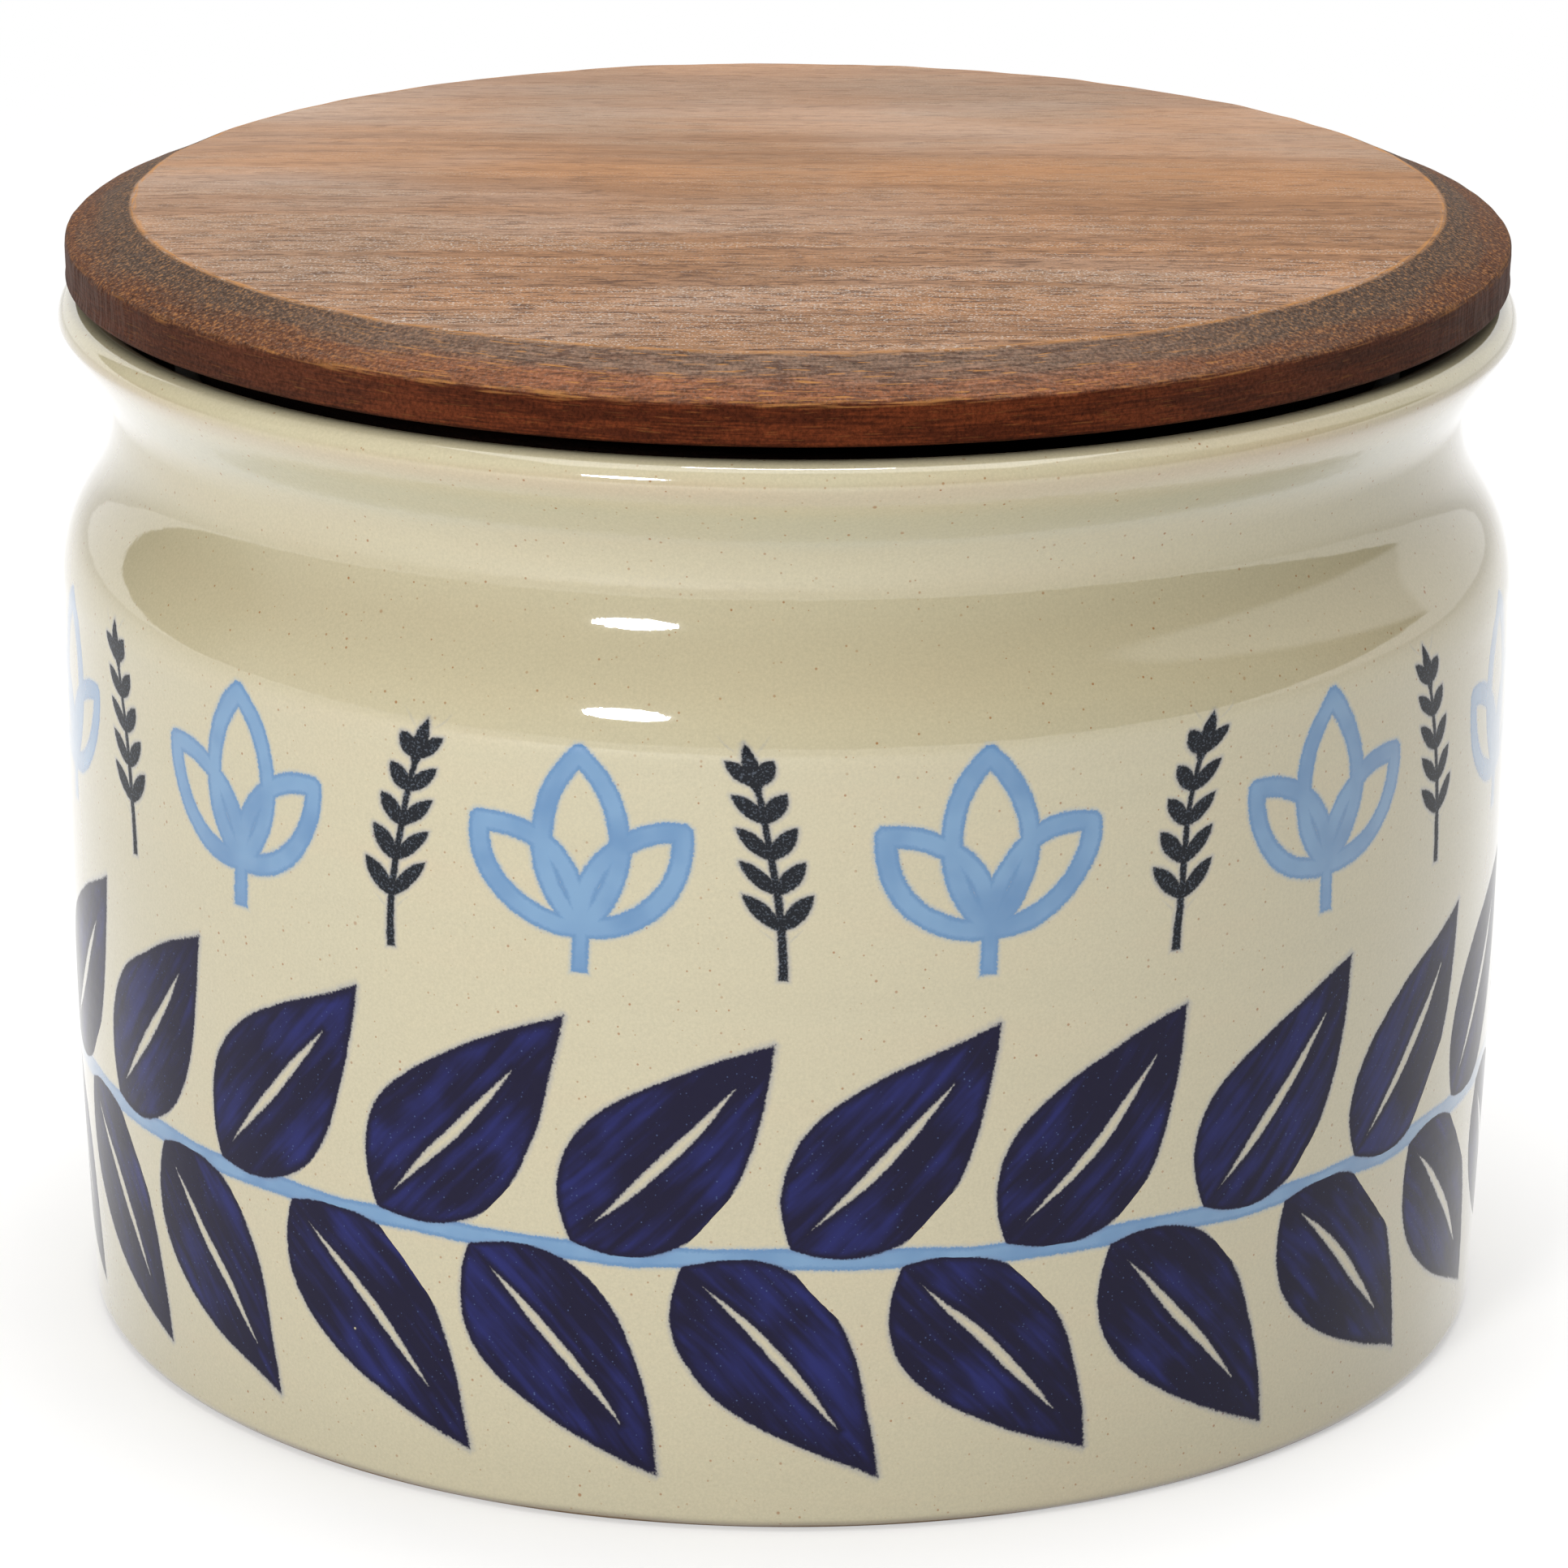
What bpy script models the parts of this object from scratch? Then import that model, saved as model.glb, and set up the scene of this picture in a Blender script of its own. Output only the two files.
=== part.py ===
"""A lidded storage jar: a stoneware body, a turned wooden lid and the seal ring round the lid's plug.

Metres, +Z up. The origin is where the jar's axis meets the surface that the jar stands on.
Every piece is turned: an outline of (radius, height) points is spun about Z.
"""
import math

import bpy

# Jar body, outside, from the foot to the rim
BODY_RADIUS = 0.06565           # the widest place, on the belly
WALL_TAPER = 0.00144            # how much narrower the wall is above the foot
WALL_HEIGHT = 0.0676            # foot to the top of the straight wall
BELLY_HEIGHT_SHARE = 0.829      # height of the widest place, of the wall's height
FOOT_CORNER_RADIUS = 0.0014
SHOULDER_RISE = 0.0163          # wall top to the narrowest place of the neck
SHOULDER_BEND_SHARES = (0.51, 0.51)   # how far each bend reaches into the rise: low end, high end
NECK_INSET = 0.0049
FLARE_RISE = 0.0081             # narrowest place of the neck to the widest of the rim
FLARE_BEND_SHARES = (0.31, 0.11)
RIM_INSET = 0.0003              # the rim is this much narrower than the belly
LIP_RISE = 0.0020               # widest place of the rim to its crest
LIP_OUTER_WIDTH = 0.0019        # crest to the rim's outside
LIP_INNER_WIDTH = 0.0027        # crest to the rim's inside
LIP_INNER_DROP = 0.0026         # crest to the foot of the round inside the lip

# Jar body, inside and underneath
WALL_THICKNESS = 0.0050
NECK_THICKNESS = 0.0053
MOUTH_BORE_RISE = 0.0036        # the straight bore that the seal ring grips
MOUTH_FLARE_BEND_SHARES = (0.30, 0.30)
FLOOR_THICKNESS = 0.0050
INNER_CORNER_RADIUS = 0.0085
FOOT_RING_WIDTH = 0.0075        # the ring that the jar stands on
FOOT_RECESS = 0.0012            # how far the middle of the underside is raised
FOOT_RECESS_SLOPE = 0.0016

# Lid
LID_STAND = 0.0013              # the seal ring holds the lid this far above the rim
LID_INSET = 0.0006              # the lid is this much narrower than the rim
LID_THICKNESS = 0.0066
BEVEL_WIDTH = 0.0062
BEVEL_DROP = 0.0027
BEVEL_TOP_RADIUS = 0.0005
BEVEL_CORNER_RADIUS = 0.0009
EDGE_TAPER = 0.00015
EDGE_LOWER_RADIUS = 0.0005
PLUG_CLEARANCE = 0.0022         # between the plug and the mouth's bore
PLUG_ROOT_RADIUS = 0.0010
PLUG_END_HEIGHT = 0.0022        # of the plug below its groove
PLUG_END_CHAMFER = 0.0012
GROOVE_HEIGHT = 0.0034
GROOVE_DEPTH = 0.0021

# Seal ring
SEAL_BAND_INSET = 0.0002        # the band lies this far inside the plug's face
SEAL_LIP_COUNT = 3
SEAL_LIP_THICKNESS = 0.0005
SEAL_LIP_RISE = 0.0003          # each lip's tip is bent up by this much

# Clearance between pieces that touch
SEAT_GAP = 0.0003

# Facets
TURNS = 72                      # facets round the axis
BEND_POINTS = 7                 # points on each long bend
ROUND_POINTS = 4                # points on each small round
WALL_POINTS = 6                 # points up the wall
AXIS_MERGE = 0.00001            # points this close to each other become one

GLAZE_COLOUR = (0.60, 0.56, 0.42, 1.0)
WOOD_COLOUR = (0.20, 0.085, 0.045, 1.0)
SEAL_COLOUR = (0.62, 0.58, 0.50, 1.0)

RIM_RADIUS = BODY_RADIUS - RIM_INSET
NECK_RADIUS = BODY_RADIUS - NECK_INSET
MOUTH_RADIUS = NECK_RADIUS - NECK_THICKNESS
NECK_HEIGHT = WALL_HEIGHT + SHOULDER_RISE
RIM_HEIGHT = NECK_HEIGHT + FLARE_RISE
CREST_HEIGHT = RIM_HEIGHT + LIP_RISE
FLOOR_HEIGHT = FOOT_RECESS + FLOOR_THICKNESS
LID_HEIGHT = CREST_HEIGHT + LID_STAND
LID_RADIUS = RIM_RADIUS - LID_INSET
GROOVE_MIDDLE = MOUTH_BORE_RISE / 2 + NECK_HEIGHT - LID_HEIGHT    # from the lid's underside
PLUG_RADIUS = MOUTH_RADIUS - PLUG_CLEARANCE
GROOVE_RADIUS = PLUG_RADIUS - GROOVE_DEPTH


def remove_all_objects():
    for item in list(bpy.data.objects):
        bpy.data.objects.remove(item, do_unlink=True)


def ogee(start, end, bend_shares, points):
    """An S-bend between two (radius, height) points that leaves both upright, without its start."""
    rise = end[1] - start[1]
    handles = (start, (start[0], start[1] + rise * bend_shares[0]),
               (end[0], end[1] - rise * bend_shares[1]), end)
    outline = []
    for step in range(1, points + 1):
        t = step / points
        weights = ((1 - t) ** 3, 3 * t * (1 - t) ** 2, 3 * t ** 2 * (1 - t), t ** 3)
        outline.append(tuple(sum(w * handle[axis] for w, handle in zip(weights, handles)) for axis in (0, 1)))
    return outline


def rounded(corners, points):
    """The outline through (radius, height, bend) corners, each one rounded by its bend's radius."""
    outline = []
    for index, (r, z, bend) in enumerate(corners):
        if bend == 0:
            outline.append((r, z))
            continue
        before, after = corners[index - 1], corners[index + 1]
        into = math.dist((r, z), before[:2])
        out = math.dist((r, z), after[:2])
        d_in = ((before[0] - r) / into, (before[1] - z) / into)
        d_out = ((after[0] - r) / out, (after[1] - z) / out)
        half = math.acos(d_in[0] * d_out[0] + d_in[1] * d_out[1]) / 2
        middle = math.hypot(d_in[0] + d_out[0], d_in[1] + d_out[1])
        centre_way = ((d_in[0] + d_out[0]) / middle, (d_in[1] + d_out[1]) / middle)
        reach = bend / math.sin(half)
        centre = (r + centre_way[0] * reach, z + centre_way[1] * reach)
        run = bend / math.tan(half)
        start = math.atan2(z + d_in[1] * run - centre[1], r + d_in[0] * run - centre[0])
        end = math.atan2(z + d_out[1] * run - centre[1], r + d_out[0] * run - centre[0])
        sweep = (end - start + math.pi) % math.tau - math.pi
        for step in range(points + 1):
            angle = start + sweep * step / points
            outline.append((centre[0] + bend * math.cos(angle), centre[1] + bend * math.sin(angle)))
    return outline


def oval_quarter(centre, half_width, half_height, start, points):
    """A quarter of an oval, turning clockwise from the angle start, without its first point."""
    outline = []
    for step in range(1, points + 1):
        angle = start - math.pi / 2 * step / points
        outline.append((centre[0] + half_width * math.cos(angle), centre[1] + half_height * math.sin(angle)))
    return outline


def wall_radius(height):
    """The outside of the wall bows out to the belly and draws in again above and below it."""
    belly = WALL_HEIGHT * BELLY_HEIGHT_SHARE
    below = (belly - height) / (belly - FOOT_CORNER_RADIUS)
    return BODY_RADIUS - WALL_TAPER * below ** 2


def wall_heights(low, high):
    return [low + (high - low) * step / WALL_POINTS for step in range(WALL_POINTS + 1)]


def jar_outline():
    """From the middle of the inner floor, up the inside, over the rim and down the outside."""
    floor_edge = wall_radius(FLOOR_HEIGHT) - WALL_THICKNESS
    bend_top = FLOOR_HEIGHT + INNER_CORNER_RADIUS
    outline = rounded([(0, FLOOR_HEIGHT, 0), (floor_edge, FLOOR_HEIGHT, INNER_CORNER_RADIUS),
                       (wall_radius(bend_top) - WALL_THICKNESS, bend_top, 0)], BEND_POINTS)[:-1]
    outline += [(wall_radius(z) - WALL_THICKNESS, z) for z in wall_heights(bend_top, WALL_HEIGHT)[1:]]
    outline += ogee(outline[-1], (MOUTH_RADIUS, NECK_HEIGHT), SHOULDER_BEND_SHARES, BEND_POINTS)
    outline.append((MOUTH_RADIUS, NECK_HEIGHT + MOUTH_BORE_RISE))
    crest_radius = RIM_RADIUS - LIP_OUTER_WIDTH
    lip_foot = (crest_radius - LIP_INNER_WIDTH, CREST_HEIGHT - LIP_INNER_DROP)
    outline += ogee(outline[-1], lip_foot, MOUTH_FLARE_BEND_SHARES, BEND_POINTS)
    outline += oval_quarter((crest_radius, lip_foot[1]), LIP_INNER_WIDTH, LIP_INNER_DROP, math.pi, ROUND_POINTS)
    outline += oval_quarter((crest_radius, RIM_HEIGHT), LIP_OUTER_WIDTH, LIP_RISE, math.pi / 2, ROUND_POINTS)

    wall_top = (wall_radius(WALL_HEIGHT), WALL_HEIGHT)
    outline += ogee((RIM_RADIUS, RIM_HEIGHT), (NECK_RADIUS, NECK_HEIGHT), FLARE_BEND_SHARES[::-1], BEND_POINTS)
    outline += ogee((NECK_RADIUS, NECK_HEIGHT), wall_top, SHOULDER_BEND_SHARES[::-1], BEND_POINTS)
    outline += [(wall_radius(z), z) for z in wall_heights(WALL_HEIGHT, FOOT_CORNER_RADIUS)[1:]]

    corner = (wall_radius(FOOT_CORNER_RADIUS) - FOOT_CORNER_RADIUS, FOOT_CORNER_RADIUS)
    outline += oval_quarter(corner, FOOT_CORNER_RADIUS, FOOT_CORNER_RADIUS, 0, ROUND_POINTS)
    ring_inside = corner[0] - FOOT_RING_WIDTH
    outline.append((ring_inside, 0))
    outline.append((ring_inside - FOOT_RECESS_SLOPE, FOOT_RECESS))
    outline.append((0, FOOT_RECESS))
    return outline


def lid_outline():
    """From the middle of the top, over the bevel and the edge, and down the plug. Height 0 is the underside."""
    groove_top = GROOVE_MIDDLE + GROOVE_HEIGHT / 2
    groove_bottom = GROOVE_MIDDLE - GROOVE_HEIGHT / 2
    plug_end = groove_bottom - PLUG_END_HEIGHT
    corners = [(0, LID_THICKNESS, 0),
               (LID_RADIUS - BEVEL_WIDTH, LID_THICKNESS, BEVEL_TOP_RADIUS),
               (LID_RADIUS, LID_THICKNESS - BEVEL_DROP, BEVEL_CORNER_RADIUS),
               (LID_RADIUS - EDGE_TAPER, 0, EDGE_LOWER_RADIUS),
               (PLUG_RADIUS, 0, PLUG_ROOT_RADIUS),
               (PLUG_RADIUS, groove_top, 0),
               (GROOVE_RADIUS, groove_top, 0),
               (GROOVE_RADIUS, groove_bottom, 0),
               (PLUG_RADIUS, groove_bottom, 0),
               (PLUG_RADIUS, plug_end + PLUG_END_CHAMFER, 0),
               (PLUG_RADIUS - PLUG_END_CHAMFER, plug_end, 0),
               (0, plug_end, 0)]
    return rounded(corners, ROUND_POINTS)


def seal_outline():
    """A band in the groove with thin lips that reach the mouth. Height 0 is the groove's middle."""
    half_height = GROOVE_HEIGHT / 2 - SEAT_GAP
    inside = GROOVE_RADIUS + SEAT_GAP
    band = PLUG_RADIUS - SEAL_BAND_INSET
    tip = MOUTH_RADIUS - SEAT_GAP
    pitch = (2 * half_height - SEAL_LIP_THICKNESS) / (SEAL_LIP_COUNT - 1)
    tip_thickness = SEAL_LIP_THICKNESS / 2
    outline = [(inside, half_height)]
    for lip in range(SEAL_LIP_COUNT):
        top = half_height - pitch * lip
        outline.append((band, top))
        outline.append((tip, top + SEAL_LIP_RISE))
        outline.append((tip, top + SEAL_LIP_RISE - tip_thickness))
        outline.append((band, top - SEAL_LIP_THICKNESS))
    outline.append((inside, -half_height))
    return outline


def turned(name, outline, closed, material, height, parent=None):
    """Spin an outline about Z into one solid, with its origin on the axis at the given height."""
    mesh = bpy.data.meshes.new(name)
    edges = [(index, index + 1) for index in range(len(outline) - 1)]
    if closed:
        edges.append((len(outline) - 1, 0))
    mesh.from_pydata([(r, 0, z) for r, z in outline], edges, [])
    piece = bpy.data.objects.new(name, mesh)
    bpy.context.scene.collection.objects.link(piece)
    spin = piece.modifiers.new("Spin", 'SCREW')
    spin.axis = 'Z'
    spin.angle = math.tau
    spin.steps = TURNS
    spin.render_steps = TURNS
    spin.use_merge_vertices = True
    spin.merge_threshold = AXIS_MERGE
    spin.use_smooth_shade = True
    mesh.materials.append(material)
    piece.location.z = height
    if parent is not None:
        piece.parent = parent
    return piece


def finish(name, colour, roughness):
    material = bpy.data.materials.new(name)
    material.use_nodes = True
    shader = material.node_tree.nodes["Principled BSDF"]
    shader.inputs["Base Color"].default_value = colour
    shader.inputs["Roughness"].default_value = roughness
    shader.inputs["Metallic"].default_value = 0.0
    return material


def build():
    remove_all_objects()
    turned("jar_body", jar_outline(), False, finish("glaze", GLAZE_COLOUR, 0.12), 0)
    lid = turned("lid", lid_outline(), False, finish("wood", WOOD_COLOUR, 0.6), LID_HEIGHT)
    turned("seal_ring", seal_outline(), True, finish("seal", SEAL_COLOUR, 0.5), GROOVE_MIDDLE, lid)


build()
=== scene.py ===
import math

import bpy
from bpy.props import FloatProperty, FloatVectorProperty, IntProperty, PointerProperty
from mathutils import Matrix, Vector


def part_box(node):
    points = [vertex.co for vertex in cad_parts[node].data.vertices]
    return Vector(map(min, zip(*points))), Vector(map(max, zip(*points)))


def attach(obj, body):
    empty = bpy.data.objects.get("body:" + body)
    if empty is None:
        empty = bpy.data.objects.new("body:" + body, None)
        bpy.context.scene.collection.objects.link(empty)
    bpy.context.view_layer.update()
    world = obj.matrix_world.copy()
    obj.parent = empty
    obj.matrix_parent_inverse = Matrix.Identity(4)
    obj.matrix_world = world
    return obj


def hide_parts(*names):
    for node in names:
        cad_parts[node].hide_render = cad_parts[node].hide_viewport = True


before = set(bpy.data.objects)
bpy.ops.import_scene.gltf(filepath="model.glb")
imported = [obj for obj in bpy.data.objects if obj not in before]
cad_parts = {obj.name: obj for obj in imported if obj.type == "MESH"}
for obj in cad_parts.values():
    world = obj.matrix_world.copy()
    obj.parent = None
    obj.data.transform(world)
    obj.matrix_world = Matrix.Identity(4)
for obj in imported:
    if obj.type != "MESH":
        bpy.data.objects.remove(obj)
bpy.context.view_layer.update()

bl_info = {
    "name": "Stoneware Storage Jar",
    "version": (1, 0, 0),
    "blender": (4, 5, 0),
    "location": "View3D > Sidebar > Jar",
    "description": "A glazed stoneware jar with a turned wooden lid, modelled over its construction frame",
    "category": "Add Mesh",
}

MM = 0.001
_, JAR_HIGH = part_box("jar_body")
LID_LOW, LID_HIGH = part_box("lid")

MERGE_DISTANCE = 0.00001
START_SIZE = 0.001              # of the plane that is merged into an outline's first point
SMOOTH_ANGLE = math.radians(30)
MIDDLE_SHARE = 0.5              # the mean of a noise texture


# Properties

def length(name, description, default):
    return FloatProperty(name=name, description=description, default=default, unit='LENGTH', precision=5)


def angle(name, description, degrees):
    return FloatProperty(name=name, description=description, default=math.radians(degrees), subtype='ANGLE')


def share(name, description, default):
    return FloatProperty(name=name, description=description, default=default, subtype='FACTOR')


def amount(name, description, default):
    return FloatProperty(name=name, description=description, default=default)


def count(name, description, default):
    return IntProperty(name=name, description=description, default=default, min=1)


def colour(name, description, red, green, blue):
    return FloatVectorProperty(name=name, description=description, default=(red, green, blue, 1.0), size=4,
                               subtype='COLOR', min=0.0, max=1.0)


class StageSizes(bpy.types.PropertyGroup):
    """The camera, the floor, the room and the lamps."""
    aim_height: length("Aim height", "Height of the point on the axis that the camera looks at", 0.0464)
    camera_distance: length("Camera distance", "From the aim point to the camera", 0.6201)
    camera_pitch: angle("Camera pitch", "How far the camera looks down", 17.62)
    camera_roll: angle("Camera roll", "Lowers the right side of the picture", 0.32)
    camera_shift: share("Camera shift", "Moves the object sideways in the picture", -0.0006)
    focal_length: amount("Focal length", "In millimetres, on a 36 mm sensor", 154.64)
    floor_size: length("Floor size", "Side of the square floor", 6.0)
    floor_colour: colour("Floor colour", "Of the floor", 0.98, 0.97, 0.955)
    floor_bounce: colour("Floor bounce", "What the floor throws back on the jar", 0.52, 0.52, 0.505)
    floor_glow: share("Floor glow", "How much of the floor's brightness comes from its own white", 0.45)
    key_azimuth: angle("Key azimuth", "Direction of the oval lamp, from the camera towards the right", -23.8)
    key_elevation: angle("Key elevation", "Of the oval lamp", 23.6)
    key_distance: length("Key distance", "From the jar to the oval lamp", 0.90)
    key_width: length("Key width", "Of the oval lamp", 0.195)
    key_height: length("Key height", "Of the oval lamp", 0.12)
    key_brightness: amount("Key brightness", "Of the oval lamp, where white is 1", 63.0)
    top_height: length("Top lamp height", "Of the square lamp over the jar", 1.10)
    top_side: length("Top lamp side", "Of the square lamp over the jar", 1.10)
    top_brightness: amount("Top lamp brightness", "Of the square lamp, where white is 1", 1.7)
    core_side: length("Lamp core side", "Of the hot middle of the lamp over the jar", 0.31)
    core_brightness: amount("Lamp core brightness", "Of the hot middle, where white is 1", 11.0)
    dark: amount("Dark room", "Brightness of the room's darkest places", 0.03)
    front_wall: amount("Front wall", "Extra brightness of the room in front of the jar", 0.27)
    front_wall_left: angle("Front wall, left end", "Azimuth where the front wall has faded out", -106)
    front_wall_right: angle("Front wall, right end", "Azimuth where the front wall has faded out", 60)
    front_wall_left_fade: angle("Left end fade", "How far the front wall's left end takes to fade", 18)
    front_wall_right_fade: angle("Right end fade", "How far the front wall's right end takes to fade", 80)
    ceiling: amount("Ceiling", "Extra brightness of the room overhead", 0.24)
    ceiling_right: share("Ceiling, right", "How much of the ceiling's brightness is left on the right", 0.25)
    ceiling_low: angle("Ceiling start", "Elevation where the ceiling starts to show", 12)
    ceiling_high: angle("Ceiling end", "Elevation where the ceiling is brightest", 55)
    right_wall: amount("Right wall", "Brightness of the room high on the right", 0.62)
    right_wall_start: angle("Right wall start", "Azimuth where the right wall starts to show", 25)
    right_wall_fade: angle("Right wall fade", "How far the right wall takes to reach full brightness", 45)
    right_wall_low: angle("Right wall low end", "Elevation of its lower edge where the backdrop starts", 5.6)
    right_wall_slope: amount("Right wall slope", "How the wall's lower edge climbs towards the front", 0.55)
    backdrop_left: angle("Backdrop, left", "Azimuth where the backdrop starts on the left", 138)
    backdrop_right: angle("Backdrop, right", "Azimuth where the backdrop starts on the right", 119)
    backdrop_edge: angle("Backdrop edge", "Softness of the backdrop's edge", 3)
    table_left_start: angle("Table lift, left", "Where the table's edge starts to rise on the left", 104)
    table_left_lift: angle("Left lift", "How high the edge has risen where the left backdrop starts", 13)
    table_right_start: angle("Table lift, right", "Where the table's edge starts to rise on the right", 60)


class JarSizes(bpy.types.PropertyGroup):
    """The stoneware body, as its construction frame has it, and its paint."""
    body_radius: length("Body radius", "Widest place, on the belly", JAR_HIGH.x)
    wall_taper: length("Wall taper", "How much narrower the wall is above the foot", 0.00144)
    wall_height: length("Wall height", "Foot to the top of the straight wall", 0.0676)
    belly_height_share: share("Belly height", "Height of the widest place, of the wall's height", 0.829)
    foot_corner_radius: length("Foot corner radius", "Round at the foot", 0.0014)
    shoulder_rise: length("Shoulder rise", "Wall top to the narrowest place of the neck", 0.0163)
    shoulder_low_share: share("Shoulder low bend", "How far the low bend reaches into the rise", 0.51)
    shoulder_high_share: share("Shoulder high bend", "How far the high bend reaches into the rise", 0.51)
    neck_inset: length("Neck inset", "How much narrower the neck is than the belly", 0.0049)
    flare_rise: length("Flare rise", "Neck to the widest place of the rim", 0.0081)
    flare_low_share: share("Flare low bend", "How far the low bend reaches into the rise", 0.31)
    flare_high_share: share("Flare high bend", "How far the high bend reaches into the rise", 0.11)
    rim_inset: length("Rim inset", "How much narrower the rim is than the belly", 0.0003)
    lip_rise: length("Lip rise", "Widest place of the rim to its crest", 0.0020)
    lip_outer_width: length("Lip outer width", "Crest to the rim's outside", 0.0019)
    lip_inner_width: length("Lip inner width", "Crest to the rim's inside", 0.0027)
    lip_inner_drop: length("Lip inner drop", "Crest to the foot of the round inside the lip", 0.0026)
    wall_thickness: length("Wall thickness", "Of the wall", 0.0050)
    neck_thickness: length("Neck thickness", "Of the neck", 0.0053)
    mouth_bore_rise: length("Mouth bore rise", "Of the straight bore that the seal grips", 0.0036)
    mouth_flare_share: share("Mouth flare bends", "How far its bends reach into the rise", 0.30)
    floor_thickness: length("Floor thickness", "Of the jar's floor", 0.0050)
    inner_corner_radius: length("Inner corner radius", "Round between floor and wall", 0.0085)
    foot_ring_width: length("Foot ring width", "Of the ring that the jar stands on", 0.0075)
    foot_recess: length("Foot recess", "How far the middle of the underside is raised", 0.0012)
    foot_recess_slope: length("Foot recess slope", "Width of the slope inside the foot ring", 0.0016)
    turns: count("Turns", "Facets round the axis", 360)
    wave_depth: length("Wave depth", "Of the slow unevenness left by throwing", 0.00012)
    wave_length: length("Wave length", "Of the slow unevenness left by throwing", 0.030)

    glaze: colour("Glaze", "Cream glaze", 0.612, 0.545, 0.362)
    glaze_warm: colour("Warm glaze", "Where the glaze is thin over the clay", 0.595, 0.460, 0.300)
    glaze_cool: colour("Cool glaze", "Where the glaze has pooled", 0.53, 0.515, 0.375)
    # Painted shade: a darker, yellower cream for the middle of the shoulder, where the lid and rim shade it.
    shoulder_painted_shade: colour("Shoulder shade", "Where the glaze lies thick on the shoulder", 0.53, 0.455, 0.285)
    iron: colour("Iron specks", "Rust specks in the glaze", 0.36, 0.150, 0.038)
    clay: colour("Bare clay", "Foot ring without glaze", 0.42, 0.30, 0.19)
    # Also the painted shade on the seat inside the lip, under the lid.
    scorch_and_shade: colour("Scorched edge", "Line where the glaze ends", 0.20, 0.125, 0.07)
    cobalt: colour("Cobalt", "Deep blue paint", 0.0075, 0.0055, 0.030)
    cobalt_thin: colour("Thin cobalt", "Deep blue paint where the brush left less", 0.019, 0.023, 0.150)
    cobalt_fringe: colour("Cobalt fringe", "Where the deep blue has bled into the glaze", 0.10, 0.15, 0.33)
    sky: colour("Light blue", "Light blue paint", 0.155, 0.33, 0.56)
    sky_pool: colour("Light blue pool", "Light blue paint where it has pooled", 0.075, 0.225, 0.46)
    black: colour("Black", "Fine lines", 0.010, 0.012, 0.017)
    black_grain: colour("Black grain", "Pale grains in the fine lines", 0.075, 0.090, 0.115)

    leaf_pairs: count("Leaf pairs", "Round the garland", 22)
    garland_height: length("Garland height", "Of the garland's stem", 0.0252)
    leaf_length: length("Leaf length", "Of a painted leaf", 0.0262)
    leaf_width: length("Leaf width", "Of a painted leaf", 0.0134)
    leaf_fullness: share("Leaf fullness", "Moves a leaf's widest place towards its foot", 0.58)
    leaf_slant: angle("Leaf slant", "Of the leaves, from the stem", 48)
    leaf_bow: length("Leaf bow", "How far a leaf's middle bends to the side", 0.0006)
    leaf_start: length("Leaf start", "From the stem to a leaf", 0.0011)
    rib_start: length("Rib start", "From a leaf's foot to the bare line down its middle", 0.0030)
    rib_length: length("Rib length", "Of the bare line down the middle of a leaf", 0.0170)
    rib_width: length("Rib width", "Of the bare line at its widest", 0.0010)
    stem_width: length("Stem width", "Of the garland's stem", 0.0018)
    sprigs: count("Sprigs", "Round the upper band, with as many buds between", 12)
    sprig_foot: length("Sprig foot", "Height where the sprigs start", 0.0500)
    sprig_rise: length("Sprig rise", "From foot to tip", 0.0205)
    sprig_sway: length("Sprig sway", "How far the tip leans over", 0.0034)
    line_width: length("Line width", "Of the black lines", 0.00080)
    leaflet_pairs: count("Leaflet pairs", "On a sprig", 5)
    leaflet_pitch: length("Leaflet pitch", "Between the sprig's leaflets", 0.0031)
    leaflet_length: length("Leaflet length", "Of the sprig's lowest leaflets", 0.0056)
    leaflet_width: length("Leaflet width", "Of the sprig's leaflets", 0.0015)
    tip_length: length("Tip length", "Of the leaflet at a sprig's end", 0.0046)
    bud_foot: length("Bud foot", "Height where the petals start", 0.0540)
    petal_length: length("Petal length", "Of the middle petal", 0.0150)
    petal_width: length("Petal width", "Of a petal", 0.0068)
    petal_slant: angle("Petal slant", "Of the side petals, from upright", 46)
    petal_line: length("Petal line", "Width of the light blue strokes", 0.0019)


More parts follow.
